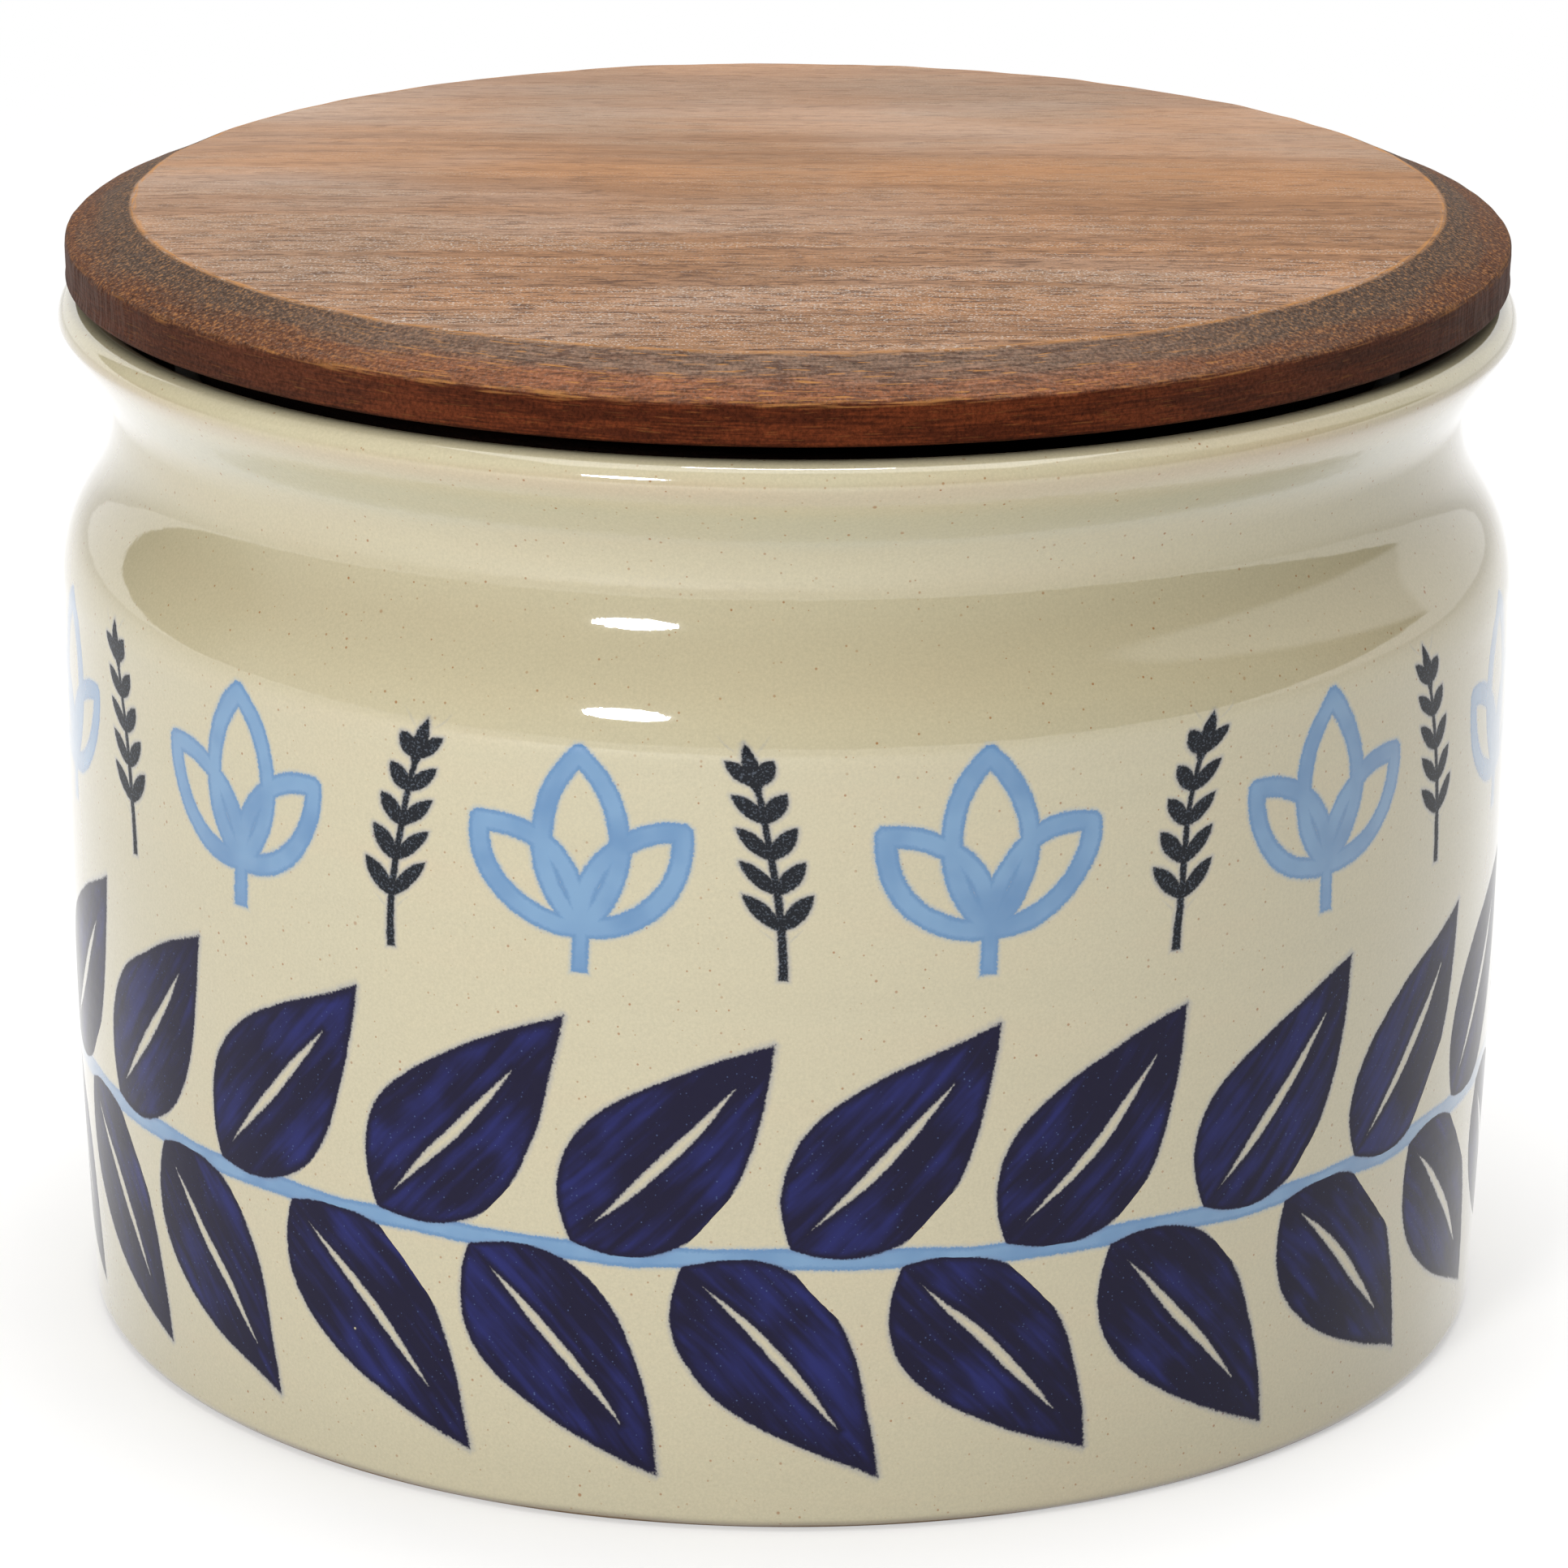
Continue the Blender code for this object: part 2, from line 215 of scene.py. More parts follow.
class LidSizes(bpy.types.PropertyGroup):
    """The turned wooden lid, as its construction frame has it, and its wood."""
    radius: length("Lid radius", "Of the disc", LID_HIGH.x)
    thickness: length("Lid thickness", "Of the disc", 0.0066)
    bevel_width: length("Bevel width", "Of the sloping edge", 0.0062)
    bevel_drop: length("Bevel drop", "Of the sloping edge", 0.0027)
    bevel_top_radius: length("Bevel top radius", "Round at the top of the slope", 0.0005)
    bevel_corner_radius: length("Bevel corner radius", "Round at the foot of the slope", 0.0009)
    edge_taper: length("Edge taper", "How much narrower the disc is underneath", 0.00015)
    edge_lower_radius: length("Edge lower radius", "Round at the disc's lower edge", 0.0005)
    plug_clearance: length("Plug clearance", "Between the plug and the mouth", 0.0022)
    plug_root_radius: length("Plug root radius", "Round where the plug meets the disc", 0.0010)
    plug_end_chamfer: length("Plug end chamfer", "At the plug's lower edge", 0.0012)
    groove_height: length("Groove height", "Of the seal's groove", 0.0034)
    groove_depth: length("Groove depth", "Of the seal's groove", 0.0021)
    # Painted shade: height of the band under the disc whose wood is darkened for the shadow in the gap under
    # the lid.
    gap_shade_height: length("Gap shade height", "Of the darkened wood under the disc", 0.0080)
    turns: count("Turns", "Facets round the axis", 512)
    wear_depth: length("Wear depth", "Of the knocks along the edge", 0.00022)
    wear_length: length("Wear length", "Of the knocks along the edge", 0.006)

    wood_light: colour("Light wood", "Light bands", 0.365, 0.186, 0.088)
    wood_mid: colour("Middle wood", "Between the bands", 0.270, 0.142, 0.074)
    wood_grey: colour("Greyed wood", "Dry, greyed bands", 0.240, 0.160, 0.105)
    pore: colour("Pores", "Open pores", 0.070, 0.036, 0.026)
    fibre: colour("Raised fibres", "Fibres that have lifted", 0.46, 0.21, 0.06)
    # Also the colour of the painted sheen and painted light on the lid's top.
    bloom_and_painted_light: colour("Dry bloom", "Pale dust in the pores", 0.62, 0.56, 0.50)
    bevel_dark: colour("Bevel", "Greyed wood on the slope", 0.168, 0.106, 0.074)
    bevel_red: colour("Bevel foot", "Redder wood low on the slope", 0.208, 0.084, 0.042)
    edge: colour("Edge", "Oiled wood round the edge", 0.126, 0.028, 0.009)
    edge_dark: colour("Dark edge", "Dark streaks round the edge", 0.064, 0.014, 0.005)
    edge_worn: colour("Worn corner", "Where the corner has rubbed through", 0.44, 0.20, 0.055)
    end_dark: colour("Dark ends", "Edge towards the end grain", 0.060, 0.032, 0.023)
    end_grain: colour("End grain", "Chalky end grain", 0.17, 0.115, 0.095)


class SealSizes(bpy.types.PropertyGroup):
    """The soft ring round the plug, as its construction frame has it."""
    seat_gap: length("Seat gap", "Clearance between pieces that touch", 0.0003)
    band_inset: length("Band inset", "How far the band lies inside the plug's face", 0.0002)
    lips: count("Lips", "Round the band", 3)
    lip_thickness: length("Lip thickness", "At the band", 0.0005)
    lip_rise: length("Lip rise", "How far each tip is bent up", 0.0003)
    turns: count("Turns", "Facets round the axis", 256)
    rubber: colour("Seal", "Soft seal", 0.60, 0.56, 0.48)
    rubber_aged: colour("Aged seal", "Yellowed patches", 0.52, 0.44, 0.31)
    dust: colour("Dust", "Specks on the seal", 0.30, 0.24, 0.18)


# Outlines of (radius, height) points

BEND_POINTS = 24
ROUND_POINTS = 10
WALL_SPACING = 0.0014
FLAT_SPACING = 0.006
WOOD_SPACING = 0.0008
TIP_ROUND_SHARE = 0.25          # round at a seal lip's tip, of its thickness


def ogee(start, end, low_share, high_share):
    """An S-bend between two points that leaves both upright, without its start."""
    rise = end[1] - start[1]
    handles = (start, (start[0], start[1] + rise * low_share), (end[0], end[1] - rise * high_share), end)
    outline = []
    for step in range(1, BEND_POINTS + 1):
        t = step / BEND_POINTS
        weights = ((1 - t) ** 3, 3 * t * (1 - t) ** 2, 3 * t ** 2 * (1 - t), t ** 3)
        outline.append(tuple(sum(w * h[axis] for w, h in zip(weights, handles)) for axis in (0, 1)))
    return outline


def rounded(corners):
    """The outline through (radius, height, bend) corners, each one rounded by its bend's radius."""
    outline = []
    for index, (r, z, bend) in enumerate(corners):
        corner = Vector((r, z))
        if bend == 0:
            outline.append((r, z))
            continue
        back = (Vector(corners[index - 1][:2]) - corner).normalized()
        ahead = (Vector(corners[index + 1][:2]) - corner).normalized()
        half = back.angle(ahead) / 2
        centre = corner + (back + ahead).normalized() * bend / math.sin(half)
        start = corner + back * bend / math.tan(half) - centre
        end = corner + ahead * bend / math.tan(half) - centre
        sweep = start.angle_signed(end)
        for step in range(ROUND_POINTS + 1):
            turn = Matrix.Rotation(-sweep * step / ROUND_POINTS, 2)
            outline.append(tuple(centre + turn @ start))
    return outline


def oval_quarter(centre, half_width, half_height, start, points=ROUND_POINTS):
    """A quarter of an oval, clockwise from a start in quarter turns, without its first point."""
    outline = []
    for step in range(1, points + 1):
        turn = start * math.pi / 2 - math.pi / 2 * step / points
        outline.append((centre[0] + half_width * math.cos(turn), centre[1] + half_height * math.sin(turn)))
    return outline


def straight(start, end, spacing):
    """Evenly spaced points from start to end, without the start."""
    steps = max(1, round(math.dist(start, end) / spacing))
    return [(start[0] + (end[0] - start[0]) * i / steps, start[1] + (end[1] - start[1]) * i / steps)
            for i in range(1, steps + 1)]


def wall_radius(size, height):
    """The outside of the wall bows out to the belly and draws in again above and below it."""
    belly = size.wall_height * size.belly_height_share
    below = (belly - height) / (belly - size.foot_corner_radius)
    return size.body_radius - size.wall_taper * below ** 2


def wall(size, low, high, thickness):
    """Points up or down the wall, without the first."""
    return [(wall_radius(size, z) - thickness, z) for _, z in straight((0, low), (0, high), WALL_SPACING)]


def neck_height(size):
    return size.wall_height + size.shoulder_rise


def rim_height(size):
    return neck_height(size) + size.flare_rise


def crest_height(size):
    return rim_height(size) + size.lip_rise


def mouth_radius(size):
    return size.body_radius - size.neck_inset - size.neck_thickness


def groove_middle(size):
    """The seal's groove is level with the middle of the mouth's bore."""
    return neck_height(size) + size.mouth_bore_rise / 2


def jar_outline(size):
    """From the middle of the inner floor, up the inside, over the rim and down the outside."""
    floor = size.foot_recess + size.floor_thickness
    bend_top = floor + size.inner_corner_radius
    inner_foot = wall_radius(size, floor) - size.wall_thickness
    inner_bend = rounded([(0, floor, 0), (inner_foot, floor, size.inner_corner_radius),
                          (wall_radius(size, bend_top) - size.wall_thickness, bend_top, 0)])
    outline = [inner_bend[0]]
    outline += straight(inner_bend[0], inner_bend[1], FLAT_SPACING)
    outline += inner_bend[2:-1]
    outline += wall(size, bend_top, size.wall_height, size.wall_thickness)
    mouth = mouth_radius(size)
    neck_inside = (mouth, neck_height(size))
    outline += ogee(outline[-1], neck_inside, size.shoulder_low_share, size.shoulder_high_share)
    bore_top = (mouth, neck_height(size) + size.mouth_bore_rise)
    outline += straight(outline[-1], bore_top, WALL_SPACING)
    rim = size.body_radius - size.rim_inset
    crest = rim - size.lip_outer_width
    lip_foot = (crest - size.lip_inner_width, crest_height(size) - size.lip_inner_drop)
    outline += ogee(bore_top, lip_foot, size.mouth_flare_share, size.mouth_flare_share)
    outline += oval_quarter((crest, lip_foot[1]), size.lip_inner_width, size.lip_inner_drop, 2, BEND_POINTS)
    outline += oval_quarter((crest, rim_height(size)), size.lip_outer_width, size.lip_rise, 1, BEND_POINTS)

    neck = (size.body_radius - size.neck_inset, neck_height(size))
    wall_top = (wall_radius(size, size.wall_height), size.wall_height)
    outline += ogee((rim, rim_height(size)), neck, size.flare_high_share, size.flare_low_share)
    outline += ogee(neck, wall_top, size.shoulder_high_share, size.shoulder_low_share)
    foot_round = size.foot_corner_radius
    outline += wall(size, size.wall_height, foot_round, 0)

    corner = wall_radius(size, foot_round) - foot_round
    outline += oval_quarter((corner, foot_round), foot_round, foot_round, 0)
    ring_inside = (corner - size.foot_ring_width, 0)
    recess = (ring_inside[0] - size.foot_recess_slope, size.foot_recess)
    outline += straight(outline[-1], ring_inside, WALL_SPACING)
    outline += straight(ring_inside, recess, WALL_SPACING)
    outline += straight(recess, (0, size.foot_recess), FLAT_SPACING)
    return outline


def lid_outline(size, jar):
    """From the middle of the top, over the bevel and the edge, and down the plug."""
    seat = LID_HIGH.z - size.thickness
    plug_end = LID_LOW.z
    plug = mouth_radius(jar) - size.plug_clearance
    groove = plug - size.groove_depth
    groove_top = groove_middle(jar) + size.groove_height / 2
    groove_bottom = groove_middle(jar) - size.groove_height / 2
    corners = [(0, LID_HIGH.z, 0),
               (size.radius - size.bevel_width, LID_HIGH.z, size.bevel_top_radius),
               (size.radius, LID_HIGH.z - size.bevel_drop, size.bevel_corner_radius),
               (size.radius - size.edge_taper, seat, size.edge_lower_radius),
               (plug, seat, size.plug_root_radius),
               (plug, groove_top, 0),
               (groove, groove_top, 0),
               (groove, groove_bottom, 0),
               (plug, groove_bottom, 0),
               (plug, plug_end + size.plug_end_chamfer, 0),
               (plug - size.plug_end_chamfer, plug_end, 0),
               (0, plug_end, 0)]
    bends = rounded(corners)
    outline = [bends[0]]
    for here, there in zip(bends, bends[1:]):
        flat = here[1] == there[1]
        outline += straight(here, there, FLAT_SPACING if flat else WOOD_SPACING)
    return outline


def seal_outline(size, jar, lid):
    """A band in the groove with thin lips that reach the mouth, closed on itself."""
    middle = groove_middle(jar)
    half_height = lid.groove_height / 2 - size.seat_gap
    plug = mouth_radius(jar) - lid.plug_clearance
    inside = plug - lid.groove_depth + size.seat_gap
    band = plug - size.band_inset
    tip = mouth_radius(jar) - size.seat_gap
    pitch = (2 * half_height - size.lip_thickness) / (size.lips - 1)
    outline = [(inside, middle + half_height)]
    bend = size.lip_thickness * TIP_ROUND_SHARE
    for lip in range(size.lips):
        top = middle + half_height - pitch * lip
        tip_middle = (tip - bend, top + size.lip_rise - bend)
        outline.append((band, top))
        outline.append((tip - bend, top + size.lip_rise))
        outline += oval_quarter(tip_middle, bend, bend, 1)
        outline += oval_quarter(tip_middle, bend, bend, 0)
        outline.append((band, top - size.lip_thickness))
    outline.append((inside, middle - half_height))
    outline.append(outline[0])
    return outline


# Modelling

def deselect_all():
    if bpy.context.object is not None and bpy.context.object.mode != 'OBJECT':
        bpy.ops.object.mode_set(mode='OBJECT')
    bpy.ops.object.select_all(action='DESELECT')


def turned(name, outline, turns):
    """Extrude one point along an outline, spin it about Z, and close its seam and poles."""
    deselect_all()
    bpy.ops.mesh.primitive_plane_add(size=START_SIZE, location=(outline[0][0], 0, outline[0][1]))
    piece = bpy.context.object
    piece.name = name
    piece.data.name = name
    bpy.ops.object.transform_apply(location=True, rotation=False, scale=False)
    bpy.ops.object.mode_set(mode='EDIT')
    bpy.ops.mesh.select_mode(type='VERT')
    bpy.ops.mesh.merge(type='CENTER')
    for here, there in zip(outline, outline[1:]):
        step = (there[0] - here[0], 0, there[1] - here[1])
        bpy.ops.mesh.extrude_vertices_move(TRANSFORM_OT_translate={"value": step})
    bpy.ops.mesh.select_all(action='SELECT')
    bpy.ops.mesh.spin(steps=turns, angle=math.tau, center=(0, 0, 0), axis=(0, 0, 1))
    bpy.ops.mesh.select_all(action='SELECT')
    bpy.ops.mesh.remove_doubles(threshold=MERGE_DISTANCE)
    bpy.ops.mesh.normals_make_consistent(inside=False)
    bpy.ops.object.mode_set(mode='OBJECT')
    return piece


def smooth(piece):
    deselect_all()
    piece.select_set(True)
    bpy.context.view_layer.objects.active = piece
    bpy.ops.object.shade_smooth_by_angle(angle=SMOOTH_ANGLE)


def press_in(piece, texture_name, texture_kind, feature_length, depth, belongs):
    """Push the surface in by an uneven depth, where belongs(vertex place) says so."""
    texture = bpy.data.textures.new(texture_name, texture_kind)
    texture.noise_scale = feature_length
    texture.noise_depth = 1
    group = piece.vertex_groups.new(name=texture_name)
    group.add([vertex.index for vertex in piece.data.vertices if belongs(vertex.co)], 1.0, 'REPLACE')
    uneven = piece.modifiers.new(texture_name, 'DISPLACE')
    uneven.texture = texture
    uneven.texture_coords = 'LOCAL'
    uneven.vertex_group = group.name
    uneven.strength = depth
    uneven.mid_level = 1.0
    bpy.context.view_layer.objects.active = piece
    bpy.ops.object.modifier_apply(modifier=uneven.name)


# Node trees

class Wire:
    """A value that flows through a node tree. Sums written with wires add Math nodes."""

    def __init__(self, tree, socket):
        self.tree = tree
        self.socket = socket

    def math(self, operation, *others):
        node = self.tree.nodes.new('ShaderNodeMath')
        node.operation = operation
        for socket, value in zip(node.inputs, (self, *others)):
            join(self.tree, value, socket)
        return Wire(self.tree, node.outputs[0])

    def __add__(self, other):
        return self.math('ADD', other)

    def __sub__(self, other):
        return self.math('SUBTRACT', other)

    def __rsub__(self, other):
        return self * -1 + other

    def __mul__(self, other):
        return self.math('MULTIPLY', other)

    def __truediv__(self, other):
        return self.math('DIVIDE', other)

    def __abs__(self):
        return self.math('ABSOLUTE')

    __radd__ = __add__
    __rmul__ = __mul__

    def at_least(self, other):
        return self.math('MAXIMUM', other)

    def at_most(self, other):
        return self.math('MINIMUM', other)

    def step(self, low, high):
        """0 at low, 1 at high and a smooth slope between. Low may be above high."""
        node = add(self.tree, 'MapRange', {"interpolation_type": 'SMOOTHSTEP'},
                   {"Value": self, "From Min": low, "From Max": high})
        return Wire(self.tree, node.outputs["Result"])


def join(tree, value, socket):
    if isinstance(value, Wire):
        tree.links.new(value.socket, socket)
    else:
        socket.default_value = value


def add(tree, kind, settings, inputs):
    """A shader node with its settings and inputs, where an input is a wire or a plain value."""
    node = tree.nodes.new('ShaderNode' + kind)
    for name, value in settings.items():
        setattr(node, name, value)
    for name, value in inputs.items():
        join(tree, value, node.inputs[name])
    return node


def object_place(tree):
    return Wire(tree, add(tree, 'TexCoord', {}, {}).outputs["Object"])


def split(place):
    node = add(place.tree, 'SeparateXYZ', {}, {"Vector": place})
    return [Wire(place.tree, node.outputs[axis]) for axis in "XYZ"]


def combine(tree, x, y, z):
    return Wire(tree, add(tree, 'CombineXYZ', {}, {"X": x, "Y": y, "Z": z}).outputs["Vector"])


def stretch(place, x, y, z):
    """The place with each axis multiplied, so that a pattern on it is finer along that axis."""
    node = add(place.tree, 'Mapping', {"vector_type": 'POINT'}, {"Vector": place, "Scale": (x, y, z)})
    return Wire(place.tree, node.outputs["Vector"])


COARSE = 1.0                    # detail of a noise texture
MEDIUM = 2.0
FINE = 3.0
ROUGH = 0.6                     # roughness of a noise texture


def noise(place, lump, detail=MEDIUM, roughness=0.5):
    """Uneven values around the middle share, in lumps of a given length, or of one length for each axis."""
    if isinstance(lump, tuple):
        place = stretch(place, *(1 / side for side in lump))
        lump = 1.0
    node = add(place.tree, 'TexNoise', {},
               {"Vector": place, "Scale": 1 / lump, "Detail": detail, "Roughness": roughness})
    return Wire(place.tree, node.outputs["Fac"])


def noises(place, lump):
    """Three uneven values at once."""
    node = add(place.tree, 'TexNoise', {}, {"Vector": place, "Scale": 1 / lump, "Detail": COARSE})
    return [value - MIDDLE_SHARE for value in split(Wire(place.tree, node.outputs["Color"]))]


# Sockets of a Mix node that mixes colours
MIX_INPUTS = (0, 6, 7)
MIX_OUTPUT = 2


def mix(factor, base, over):
    """A colour between base and over."""
    tree = factor.tree
    node = tree.nodes.new('ShaderNodeMix')
    node.data_type = 'RGBA'
    for socket, value in zip(MIX_INPUTS, (factor, base, over)):
        join(tree, value, node.inputs[socket])
    return Wire(tree, node.outputs[MIX_OUTPUT])


def hypotenuse(x, y):
    return (x * x + y * y).math('SQRT')


def brighten(base, factor):
    """A colour multiplied by a number."""
    node = base.tree.nodes.new('ShaderNodeVectorMath')
    node.operation = 'SCALE'
    join(base.tree, base, node.inputs[0])
    join(base.tree, factor, node.inputs["Scale"])
    return Wire(base.tree, node.outputs[0])


def bump(tree, height, distance, normal=None):
    inputs = {"Height": height, "Distance": distance, "Strength": 1.0}
    if normal is not None:
        inputs["Normal"] = normal
    return Wire(tree, add(tree, 'Bump', {}, inputs).outputs["Normal"])


SOCKETS = {"value": 'NodeSocketFloat', "place": 'NodeSocketVector', "colour": 'NodeSocketColor'}


def new_group(name, inputs, outputs):
    """An empty node group, its inputs as wires by name, and the node that takes its outputs."""
    tree = bpy.data.node_groups.new(name, 'ShaderNodeTree')
    for in_out, sockets in (('INPUT', inputs), ('OUTPUT', outputs)):
        for socket_name, kind in sockets.items():
            tree.interface.new_socket(name=socket_name, in_out=in_out, socket_type=SOCKETS[kind])
    start = tree.nodes.new('NodeGroupInput')
    end = tree.nodes.new('NodeGroupOutput')
    return tree, {name: Wire(tree, start.outputs[name]) for name in inputs}, end


def fill(tree, node, **inputs):
    """Give a node its inputs by name, with underscores for spaces, and lay its finished tree out."""
    for name, value in inputs.items():
        join(tree, value, node.inputs[name.replace("_", " ")])
    lay_out(tree)
    return tree


def use(group, tree, **inputs):
    """Place a group in a tree and return its outputs by name."""
    node = tree.nodes.new('ShaderNodeGroup')
    node.node_tree = group
    for name, value in inputs.items():
        join(tree, value, node.inputs[name.replace("_", " ").capitalize()])
    return {socket.name: Wire(tree, socket) for socket in node.outputs}


NODE_COLUMN = 220
NODE_ROW = 200


def lay_out(tree):
    """Set the nodes in columns, each one left of the nodes that it feeds."""
    depth = {}

    def place(node, column):
        if depth.get(node, -1) >= column:
            return
        depth[node] = column
        for socket in node.inputs:
            for link in socket.links:
                place(link.from_node, column + 1)

    for node in tree.nodes:
        if not any(socket.is_linked for socket in node.outputs):
            place(node, 0)
    rows = {}
    for node, column in depth.items():
        row = rows.get(column, 0)
        rows[column] = row + 1
        node.location = (-column * NODE_COLUMN, -row * NODE_ROW)


# Shared groups

SPECK_LEAST_SHARE = 0.35
SPECK_CORE_SHARE = 0.45


def specks_group():
    """Dots scattered through space: spacing and size in metres, and the share of places that hold one."""
    tree, given, end = new_group("Scattered Specks", {"Place": "place", "Spacing": "value", "Size": "value",
                                                      "Share": "value"}, {"Mask": "value", "Random": "value"})
    scale = given["Spacing"].math('POWER', -1)
    cells = add(tree, 'TexVoronoi', {"feature": 'F1'}, {"Vector": given["Place"], "Scale": scale})
    near = Wire(tree, cells.outputs["Distance"]) * given["Spacing"]
    red, green, blue = split(Wire(tree, cells.outputs["Color"]))
    reach = given["Size"] * (red + SPECK_LEAST_SHARE)
    dot = near.step(reach, reach * SPECK_CORE_SHARE)
    present = green.math('LESS_THAN', given["Share"])
    return fill(tree, end, Mask=dot * present, Random=blue)


def turning_group():
    """Where a point is: turns round the axis from the front to the right, how high and how far out."""
    tree, given, end = new_group("Round The Axis", {"Place": "place"},
                                 {"Turn": "value", "Height": "value", "Radius": "value"})
    x, y, z = split(given["Place"])
    turn = x.math('ARCTAN2', y * -1) / math.tau
    return fill(tree, end, Turn=turn, Height=z, Radius=hypotenuse(x, y))


# Brushwork

def leaf_inside(along, across, length, width, fullness=0.0):
    """How far a point lies inside a pointed leaf, whose outline is two arcs, in metres."""
    warped = along + along * (1 - along / length) * fullness
    half_length = length / 2
    arc_radius = (half_length * half_length + (width / 2) ** 2) / width
    off_axis = abs(across) + (arc_radius - width / 2)
    off_middle = warped - half_length
    return (arc_radius - hypotenuse(off_axis, off_middle)).at_most(length - along)


LEAF_TILT_SHARE = 0.07
LEAF_LENGTH_SHARE = 0.10


def garland_group(size):
    """Pairs of slanting leaves along a stem round the jar."""
    tree, given, end = new_group("Leaf Garland", {"Turn": "value", "Height": "value"},
                                 {"Leaf": "value", "Stem": "value", "Along": "value", "Across": "value",
                                  "Copy": "value"})
    girth = math.tau * size.body_radius
    pitch = girth / size.leaf_pairs
    lean, climb = math.cos(size.leaf_slant), math.sin(size.leaf_slant)
    above = given["Height"] - size.garland_height
    upper = above.math('GREATER_THAN', 0.0)
    rise = abs(above)
    shifted = given["Turn"] * girth + upper * (pitch / 2) - rise * (lean / climb)
    turns = shifted / pitch
    number = turns.math('FLOOR')
    local = (turns - number - MIDDLE_SHARE) * pitch
    copy = number.math('FLOORED_MODULO', size.leaf_pairs) + upper * size.leaf_pairs
    chance = add(tree, 'TexWhiteNoise', {"noise_dimensions": '1D'}, {"W": copy})
    tilt, stretch_by, bend_by = split(Wire(tree, chance.outputs["Color"]))
    along = local * lean + rise / climb - size.leaf_start
    across = local * climb - along * (tilt - MIDDLE_SHARE) * LEAF_TILT_SHARE
    leaf_length = (stretch_by - MIDDLE_SHARE) * (size.leaf_length * LEAF_LENGTH_SHARE) + size.leaf_length
    way_off = along / leaf_length * 2 - 1
    across = across - (1 - way_off * way_off) * (bend_by + MIDDLE_SHARE) * size.leaf_bow
    leaf = leaf_inside(along, across, leaf_length, size.leaf_width, size.leaf_fullness)
    rib = leaf_inside(along - size.rib_start, across, size.rib_length, size.rib_width)
    return fill(tree, end, Leaf=leaf.at_most(rib * -1), Stem=size.stem_width / 2 - rise, Along=along,
                Across=across, Copy=copy)


STEM_TAPER_SHARE = 0.4
LEAFLET_TAPER_SHARE = 0.45
LEAFLET_OVERLAP_SHARE = 0.5     # of the line's width, so that a leaflet grows out of the stem
HALF_RIGHT_ANGLE = math.sqrt(0.5)


def sprig_group(size):
    """Swaying black sprigs with small leaves, spaced round the jar."""
    tree, given, end = new_group("Sprigs", {"Turn": "value", "Height": "value"}, {"Line": "value"})
    pitch = math.tau * size.body_radius / size.sprigs
    turns = given["Turn"] * size.sprigs + MIDDLE_SHARE
    number = turns.math('FLOOR')
    local = (turns - number - MIDDLE_SHARE) * pitch
    lean_way = (number.math('FLOORED_MODULO', 2) - MIDDLE_SHARE) * 2
    climb = given["Height"] - size.sprig_foot
    share_up = (climb / size.sprig_rise).at_least(0.0).at_most(1.0)
    across = local - share_up * share_up * lean_way * size.sprig_sway
    stem = (1 - share_up * STEM_TAPER_SHARE) * (size.line_width / 2) - abs(across)
    stem = stem.at_most(climb).at_most(size.sprig_rise - size.tip_length / 2 - climb)

    joint = climb - abs(across)
    copies = joint / size.leaflet_pitch
    inner = (copies - copies.math('FLOOR') - MIDDLE_SHARE) * (size.leaflet_pitch * HALF_RIGHT_ANGLE)
    along = abs(across) / HALF_RIGHT_ANGLE + inner + size.line_width * LEAFLET_OVERLAP_SHARE
    leaflet_length = (1 - share_up * LEAFLET_TAPER_SHARE) * size.leaflet_length
    leaflet = leaf_inside(along, inner, leaflet_length, size.leaflet_width)
    first = size.leaflet_pitch
    last = first + size.leaflet_pairs * size.leaflet_pitch
    leaflet = leaflet.at_most(joint - first).at_most(last - joint)
    tip_start = size.sprig_rise - size.tip_length
    tip = leaf_inside(climb - tip_start, across, size.tip_length, size.leaflet_width)
    return fill(tree, end, Line=stem.at_least(leaflet).at_least(tip))


SIDE_PETAL_SHARE = 0.82
STALK_SHARE = 0.8
PETAL_ROOT_SHARE = 0.6


def bud_group(size):
    """Three open petals drawn in outline on a short stalk, between the sprigs."""
    tree, given, end = new_group("Buds", {"Turn": "value", "Height": "value"}, {"Line": "value"})
    turns = given["Turn"] * size.sprigs
    local = (turns - turns.math('FLOOR') - MIDDLE_SHARE) * (math.tau * size.body_radius / size.sprigs)
    up = given["Height"] - size.bud_foot
    lean, climb = math.sin(size.petal_slant), math.cos(size.petal_slant)
    middle = leaf_inside(up, local, size.petal_length, size.petal_width)
    side = leaf_inside(abs(local) * lean + up * climb, abs(local) * climb - up * lean,
                       size.petal_length * SIDE_PETAL_SHARE, size.petal_width * SIDE_PETAL_SHARE)
    half_line = size.petal_line / 2
    stalk = half_line * STALK_SHARE - abs(local)
    stalk = stalk.at_most(up + (size.bud_foot - size.sprig_foot))
    stalk = stalk.at_most(size.petal_line * PETAL_ROOT_SHARE - up)
    outline = (half_line - abs(middle)).at_least(half_line - abs(side))
    return fill(tree, end, Line=outline.at_least(stalk))


EDGE_GRAIN = 0.22 * MM
EDGE_SOFTNESS = 0.11 * MM
FRINGE_STRENGTH_SHARE = 0.85


